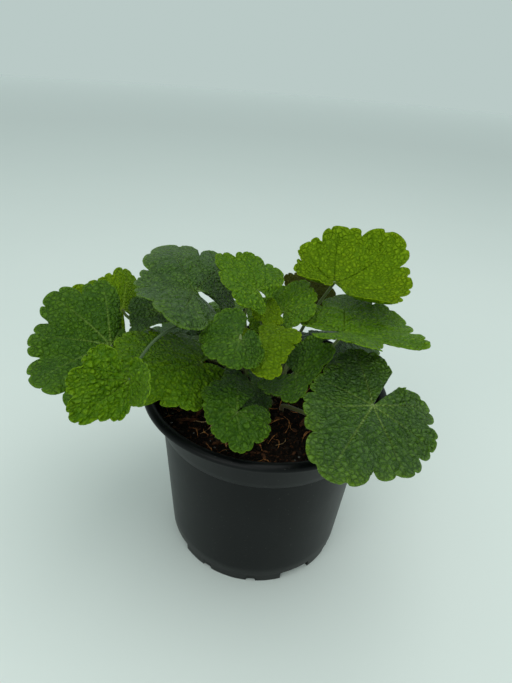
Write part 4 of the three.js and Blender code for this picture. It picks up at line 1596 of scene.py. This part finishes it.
@dataclass
class PottingMix:
    """Peat and bark that fill the pot to just under its lip.

    crumb_sizes gives the ground's small relief: how fine each layer of it is and how high in millimetres.
    """

    pot: NurseryPot
    level: float = MIX_LEVEL
    clearance: float = 0.3 * MM
    roughness: float = 1.3 * MM
    bark: BarkSpread = BarkSpread()
    fibres: int = 210
    crumbs: int = 420
    grit_grains: int = 70
    crumb_sizes: tuple[Pair, ...] = ((160, 0.9), (430, 0.75), (900, 0.4))
    finish: MixFinish = MixFinish()

    @property
    def edge(self) -> float:
        """The mix's radius at its surface."""
        pot = self.pot
        share = (self.level - pot.collar_foot) / (pot.height - pot.lip_depth - pot.collar_foot)
        wall = pot.collar_foot_radius + share * (pot.collar_top_radius - pot.collar_foot_radius)
        return wall - pot.wall - self.clearance

    def surface(self, x: float, y: float) -> float:
        """The ground's height without its crumbs, in metres, at a place in metres."""
        x, y = x / MM, y / MM
        ripple = math.sin(x * 0.31 + 1.3) * math.cos(y * 0.27 - 0.4)
        crumb = math.sin(x * 0.83 - y * 0.57) * 0.6
        mound = 2 * MM * math.exp(-(x * x + y * y) / 500)
        return self.level + mound + self.roughness * 0.6 * (ripple + crumb)

    def crumbly(self, x: float, y: float) -> float:
        """The ground's height with its crumbs."""
        spot = Vector((x, y, 0))
        rough = sum(share * noise.noise(spot * fineness) for fineness, share in self.crumb_sizes)
        return self.surface(x, y) + rough * MM

    def ground(self) -> Piece:
        """Models the mix as one closed body that fills the pot.

        Returns:
            The body.
        """
        pot = self.pot
        foot = pot.body_foot_radius - pot.wall - self.clearance
        sides = [
            (self.edge, self.level - 1.5 * MM),
            (pot.collar_foot_radius - pot.wall - self.clearance, pot.collar_foot),
            (foot, pot.floor + 3 * MM),
            (foot - 2.5 * MM, pot.floor + self.clearance),
            (0, pot.floor + self.clearance),
        ]
        rings, columns = 84, 260
        rows = rings + len(sides)

        def lay(across: Row, along: Row) -> np.ndarray:
            points = []
            for turn, step in zip(across * TURN, np.round(along * rows).astype(int)):
                if step <= rings:
                    x, y = round_about(self.edge * step / rings, turn)
                    points.append((x, y, self.crumbly(x, y)))
                else:
                    radius, height = sides[step - rings - 1]
                    points.append((*round_about(radius, turn), height))
            return np.array(points)

        body, _, _ = mapped_grid("mix_ground", columns, rows, lay)
        return weld(body)

    def chip(self) -> Piece:
        """One rough bark chip of unit size."""
        cube = added(bpy.ops.mesh.primitive_cube_add, size=1)
        chip = edited(cube, lambda: bpy.ops.mesh.subdivide(number_cuts=2))
        for vertex in chip.data.vertices:
            spot = vertex.co.copy()
            pinch = 1 - 0.45 * abs(2 * spot.x) ** 3
            shift = noise.noise_vector(spot * 2.3) * 0.12
            vertex.co = Vector((spot.x, spot.y * pinch, spot.z * pinch)) + shift
        return chip

    def chip_placings(self) -> list[Matrix]:
        """Where the large bark pieces lie: the same draws as in the solid."""
        bark = self.bark
        dice = Dice(bark.seed)
        placings = []
        for _ in range(bark.count):
            reach = (bark.nearest + bark.spread * math.sqrt(dice.draw())) * MM
            turn = TURN * dice.draw()
            x, y = round_about(reach, turn)
            length = (bark.shortest + bark.longer * dice.draw()) * MM
            width = (bark.narrowest + bark.wider * dice.draw()) * MM
            tilt_x = math.radians(2 * bark.lean * (dice.draw() - 0.5))
            tilt_y = math.radians(2 * bark.tip * (dice.draw() - 0.5))
            spin = TURN * dice.draw()
            if math.hypot(x, y) + length / 2 > self.edge - bark.wall_gap * MM:
                continue
            tilt = Matrix.Rotation(tilt_x, 4, "X") @ Matrix.Rotation(tilt_y, 4, "Y")
            tilt = tilt @ Matrix.Rotation(spin, 4, "Z")
            size = Matrix.Diagonal((length * 1.12, width * 1.25, bark.depth * MM * 1.1, 1))
            spot = Vector((x, y, self.surface(x, y) - bark.sink * MM))
            placings.append(Matrix.Translation(spot) @ tilt @ size)
        return placings

    def crumb_placings(self, draw: random.Random) -> list[Matrix]:
        """Where small crumbs of bark and peat lie."""
        placings = []
        for _ in range(self.crumbs):
            reach = self.edge * math.sqrt(draw.random()) * 0.97
            turn = TURN * draw.random()
            x, y = round_about(reach, turn)
            spot = Vector((x, y, self.crumbly(x, y) + 0.1 * MM))
            length = draw.uniform(1.2, 4.2) * MM
            size = Matrix.Diagonal((length, length * draw.uniform(0.25, 0.7), length * 0.35, 1))
            lean = Vector((draw.uniform(-0.5, 0.5), draw.uniform(-0.5, 0.5), 1))
            placings.append(basis(spot, lean, draw.uniform(0, TURN)) @ size)
        return placings

    def fibre(self, draw: random.Random) -> np.ndarray:
        """The course of one thin fibre that lies bowed on the ground."""
        reach = self.edge * math.sqrt(draw.uniform(0.02, 0.9))
        turn = TURN * draw.random()
        spot = Vector((*round_about(reach, turn), 0))
        course = draw.uniform(0, TURN)
        curl = draw.uniform(-0.22, 0.22)
        length = draw.uniform(5, 20) * MM
        arch = draw.uniform(0.2, 2.2) * MM
        path = []
        for step in range(9):
            share = step / 8
            if math.hypot(spot.x, spot.y) < self.edge - 0.8 * MM:
                height = self.surface(spot.x, spot.y) + 0.55 * MM + arch * math.sin(math.pi * share)
                path.append((spot.x, spot.y, height))
            course += curl
            spot = spot + Vector((*round_about(1, course), 0)) * length / 8
        return np.array(path)

    def fibre_mesh(self) -> Piece:
        """Models all fibres as three-sided tapering threads.

        Returns:
            All fibres in one object.
        """
        draw = random.Random(FIBRE_SEED)
        points, faces, kinds = [], [], []
        for _ in range(self.fibres):
            path = self.fibre(draw)
            thick = draw.uniform(0.16, 0.5) * MM
            kind = 0 if draw.random() < 0.85 else 1
            if len(path) < 4:
                continue
            first = len(points)
            for count, spot in enumerate(path):
                way = path[min(count + 1, len(path) - 1)] - path[max(count - 1, 0)]
                side = np.cross(way, (0, 0, 1))
                side = side / (np.linalg.norm(side) + 1e-9)
                width = thick * (1 - 0.7 * abs(2 * count / (len(path) - 1) - 1))
                for share in range(3):
                    angle = share * TURN / 3
                    out = side * math.cos(angle) + np.array([0, 0, 1]) * math.sin(angle)
                    points.append(spot + width * out)
            for ring in range(len(path) - 1):
                for share in range(3):
                    low, high = first + ring * 3, first + ring * 3 + 3
                    after = (share + 1) % 3
                    faces.append((low + share, low + after, high + after, high + share))
            last = first + 3 * (len(path) - 1)
            faces += [(first + 2, first + 1, first), (last, last + 1, last + 2)]
            kinds += [kind] * (3 * (len(path) - 1) + 2)
        mesh = bpy.data.meshes.new("mix_fibres")
        mesh.from_pydata([tuple(p) for p in points], [], faces)
        mesh.polygons.foreach_set("material_index", kinds)
        return weld(linked("mix_fibres", mesh))

    def grit(self) -> Piece:
        """Models pale grit that has gathered near the pot's edge.

        Returns:
            All grains in one object.
        """
        draw = random.Random(GRIT_SEED)
        placings = []
        for _ in range(self.grit_grains):
            turn = draw.uniform(0, TURN)
            reach = self.edge - draw.uniform(0.8, 16) * MM
            x, y = round_about(reach, turn)
            spot = Vector((x, y, self.crumbly(x, y) + 0.3 * MM))
            way = Vector((draw.uniform(-1, 1), draw.uniform(-1, 1), 1))
            size = Matrix.Scale(draw.uniform(0.35, 0.95) * MM, 4)
            placings.append(basis(spot, way, draw.uniform(0, TURN)) @ size)
        grain = added(bpy.ops.mesh.primitive_ico_sphere_add, subdivisions=1, radius=1)
        grain.data.transform(Matrix.Diagonal((1, 0.8, 0.65, 1)))
        return scattered("mix_grit", grain, placings)

    def lay(self, piece: Piece, *materials: Material) -> None:
        """Dresses one part of the mix and hands it in."""
        hand_in(dressed(piece, *materials), "potting_mix", "potting_mix")

    def build(self) -> None:
        """Models the mix and all that lies on it, and hands it in."""
        finish = self.finish
        draw = random.Random(CRUMB_SEED)
        self.lay(smooth(self.ground(), 70), finish.soil("mix_soil"))
        bark = smooth(scattered("mix_bark", self.chip(), self.chip_placings()), 50)
        self.lay(bark, finish.wood("mix_bark", finish.bark))
        tones = [0 if draw.random() < 0.55 else 1 for _ in range(self.crumbs)]
        crumbs = smooth(scattered("mix_crumbs", self.chip(), self.crumb_placings(draw), tones), 50)
        dark = finish.wood("mix_crumb_dark", finish.crumb, 0.85)
        self.lay(crumbs, dark, finish.wood("mix_crumb_brown", finish.bark, 0.8))
        fibres = self.fibre_mesh()
        self.lay(
            fibres, finish.wood("mix_fibre", finish.fibre), finish.wood("mix_fibre_pale", finish.pale)
        )
        self.lay(self.grit(), finish.wood("mix_grit", finish.grit))


@dataclass
class Crown:
    """The short knobbly stock that all stalks rise from, with papery bud scales.

    A scale stands scale_ring from the axis, scale_lift above the stock, and leans scale_lean outwards.
    scale_bulge is how much wider it is at its middle, and scale_phase the first one's turn. Angles are
    in degrees.
    """

    radius: float = 6.5 * MM
    height: float = 7 * MM
    depth: float = 12 * MM
    scales: int = 5
    scale_radius: float = 2.1 * MM
    scale_tip: float = 0.15 * MM
    scale_length: float = 8 * MM
    scale_bulge: float = 0.35
    scale_lean: float = 12
    scale_ring: float = 2.2 * MM
    scale_lift: float = 0.5 * MM
    scale_phase: float = 20
    brown: Colour = (0.1, 0.055, 0.022)

    def stock(self) -> Piece:
        """The stock itself, ringed where old leaves stood."""
        top = MIX_LEVEL + self.height
        foot = MIX_LEVEL - self.depth
        profile = [(self.radius * 0.6, foot)]
        for step in range(12):
            share = step / 11
            bulge = self.radius * (0.78 + 0.2 * math.sin(share * 2.6)) * (1 - 0.45 * share**4)
            ring = 0.25 * MM * math.sin(step * 2.2)
            profile.append((bulge + ring - 0.2 * MM, foot + (top - foot) * (0.04 + 0.94 * share)))
        stock = turned("crown_stock", profile, 28)
        for vertex in stock.data.vertices:
            vertex.co += noise.noise_vector(vertex.co * 300) * 0.35 * MM
        return stock

    def scale(self, turn: float) -> Piece:
        """One pointed bud scale that stands on the stock."""
        length = self.scale_length
        cone = added(
            bpy.ops.mesh.primitive_cone_add,
            vertices=14, radius1=self.scale_radius, radius2=self.scale_tip, depth=length,
        )
        scale = edited(cone, lambda: bpy.ops.mesh.subdivide(number_cuts=3))
        for vertex in scale.data.vertices:
            share = (vertex.co.z + length / 2) / length
            vertex.co.x *= 1 + self.scale_bulge * math.sin(math.pi * share)
            vertex.co.y *= 1 + self.scale_bulge * math.sin(math.pi * share)
        lean = Matrix.Rotation(math.radians(self.scale_lean), 4, "Y")
        out = Matrix.Translation((self.scale_ring, 0, MIX_LEVEL + self.height + self.scale_lift))
        scale.data.transform(Matrix.Rotation(turn, 4, "Z") @ out @ lean)
        return scale

    def build(self) -> Piece:
        """Models the crown and hands it in.

        Returns:
            The finished crown.
        """
        first = math.radians(self.scale_phase)
        scales = [self.scale(first + count * TURN / self.scales) for count in range(self.scales)]
        crown = smooth(joined([self.stock(), *scales], "crown_grown"), 50)
        crown.data.materials.clear()
        return hand_in(dressed(crown, MixFinish().wood("crown_scales", self.brown, 0.7)), "crown", "crown")


# The studio


@dataclass
class Studio:
    """A pale table, one soft lamp overhead and one in front, the light of the room, and the camera.

    far_reach and horizon_reach are where the table starts to be painted lighter and where it is lightest,
    as distances from the middle in metres.
    """

    eye: tuple[float, float, float] = (0, -0.2868, 0.3254)
    right: tuple[float, float, float] = (0.995, 0.072, 0.069)
    up: tuple[float, float, float] = (-0.096, 0.492, 0.865)
    focal_pixels: float = 493
    picture_height: int = 683
    sensor: float = 36
    table_radius: float = 6
    table_drop: float = 0.05 * MM
    far_reach: Pair = (0.35, 2.5)
    horizon_reach: Pair = (2.5, 5.6)
    table: Colour = (0.77, 0.81, 0.79)
    table_far: Colour = (0.8, 0.82, 0.81)
    table_horizon: Colour = (0.97, 0.98, 0.975)
    air: Colour = (0.49, 0.59, 0.57)

    def camera(self) -> None:
        """Adds the camera at its place."""
        data = bpy.data.cameras.new("camera")
        data.lens = self.focal_pixels / self.picture_height * self.sensor
        data.sensor_width = self.sensor
        data.clip_start = 0.01
        camera = linked("camera", data)
        across = Vector(self.right).normalized()
        upward = (Vector(self.up) - across * across.dot(Vector(self.up))).normalized()
        back = across.cross(upward)
        turn = Matrix((across, upward, back)).transposed().to_4x4()
        camera.matrix_world = Matrix.Translation(Vector(self.eye)) @ turn
        bpy.context.scene.camera = camera

    def floor(self) -> None:
        """Adds the pale table top, painted lighter where the lamps don't reach, to stand in for their
        light.
        """
        spot = (0, 0, -self.table_drop)
        floor = added(
            bpy.ops.mesh.primitive_circle_add,
            vertices=96, radius=self.table_radius, fill_type="NGON", location=spot,
        )
        settle(floor)
        floor.name = "table_top"
        bench = NodeBench("table_top")
        away = bench.node("VectorMath", operation="LENGTH")
        bench.link(bench.node("TexCoord").outputs["Object"], away.inputs[0])
        far = bench.ramp(away.outputs["Value"], *self.far_reach)
        horizon = bench.ramp(away.outputs["Value"], *self.horizon_reach)
        cloudy = bench.noise(scale=3.0)
        tone = bench.blend(bench.times(cloudy, 0.15), self.table, self.air)
        tone = bench.blend(far, tone, self.table_far)
        bench.set(base_color=bench.blend(horizon, tone, self.table_horizon), roughness=0.6)
        bench.set(specular_ior_level=0.2)
        dressed(floor, bench.material)

    def lamp(self, name: str, spot: Colour, aim: Colour, size: float, power: float, tint: Colour) -> None:
        """Adds one soft square lamp.

        Args:
            name: The lamp's name.
            spot: Where it hangs.
            aim: What it points at.
            size: Its width in metres.
            power: Its power in watts.
            tint: Its colour.
        """
        data = bpy.data.lights.new(name, "AREA")
        data.size = size
        data.energy = power
        data.color = tint
        linked(name, data).matrix_world = basis(Vector(spot), Vector(spot) - Vector(aim))

    def build(self) -> None:
        """Sets up camera, table, lamps and the light of the room."""
        self.camera()
        self.floor()
        middle = (0, 0, 0.12)
        self.lamp("ceiling", (0.3, -0.1, 1.5), middle, 1.4, 8, (1, 1, 0.97))
        self.lamp("front", (-0.6, -1.3, 1.1), middle, 1.3, 8, (1, 1, 0.97))
        world = bpy.data.worlds.new("room")
        bpy.context.scene.world = world
        world.use_nodes = True
        room = world.node_tree.nodes["Background"]
        room.inputs["Color"].default_value = (*self.air, 1)
        room.inputs["Strength"].default_value = 1.0
        scene = bpy.context.scene
        scene.view_settings.view_transform = "Standard"
        scene.view_settings.look = "None"
        scene.view_settings.exposure = 0


def main() -> None:
    """Builds the studio, the pot, the mix, the crown and every leaf."""
    logging.basicConfig(level=logging.INFO, format="%(message)s")
    Studio().build()
    pot = NurseryPot()
    pot.build()
    PottingMix(pot).build()
    Crown().build()
    dressing = LeafDressing()
    for count, leaf in enumerate(LEAVES):
        leaf.seed = count + 1
        leaf.build(dressing)
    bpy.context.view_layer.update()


if __name__ == "__main__":
    main()
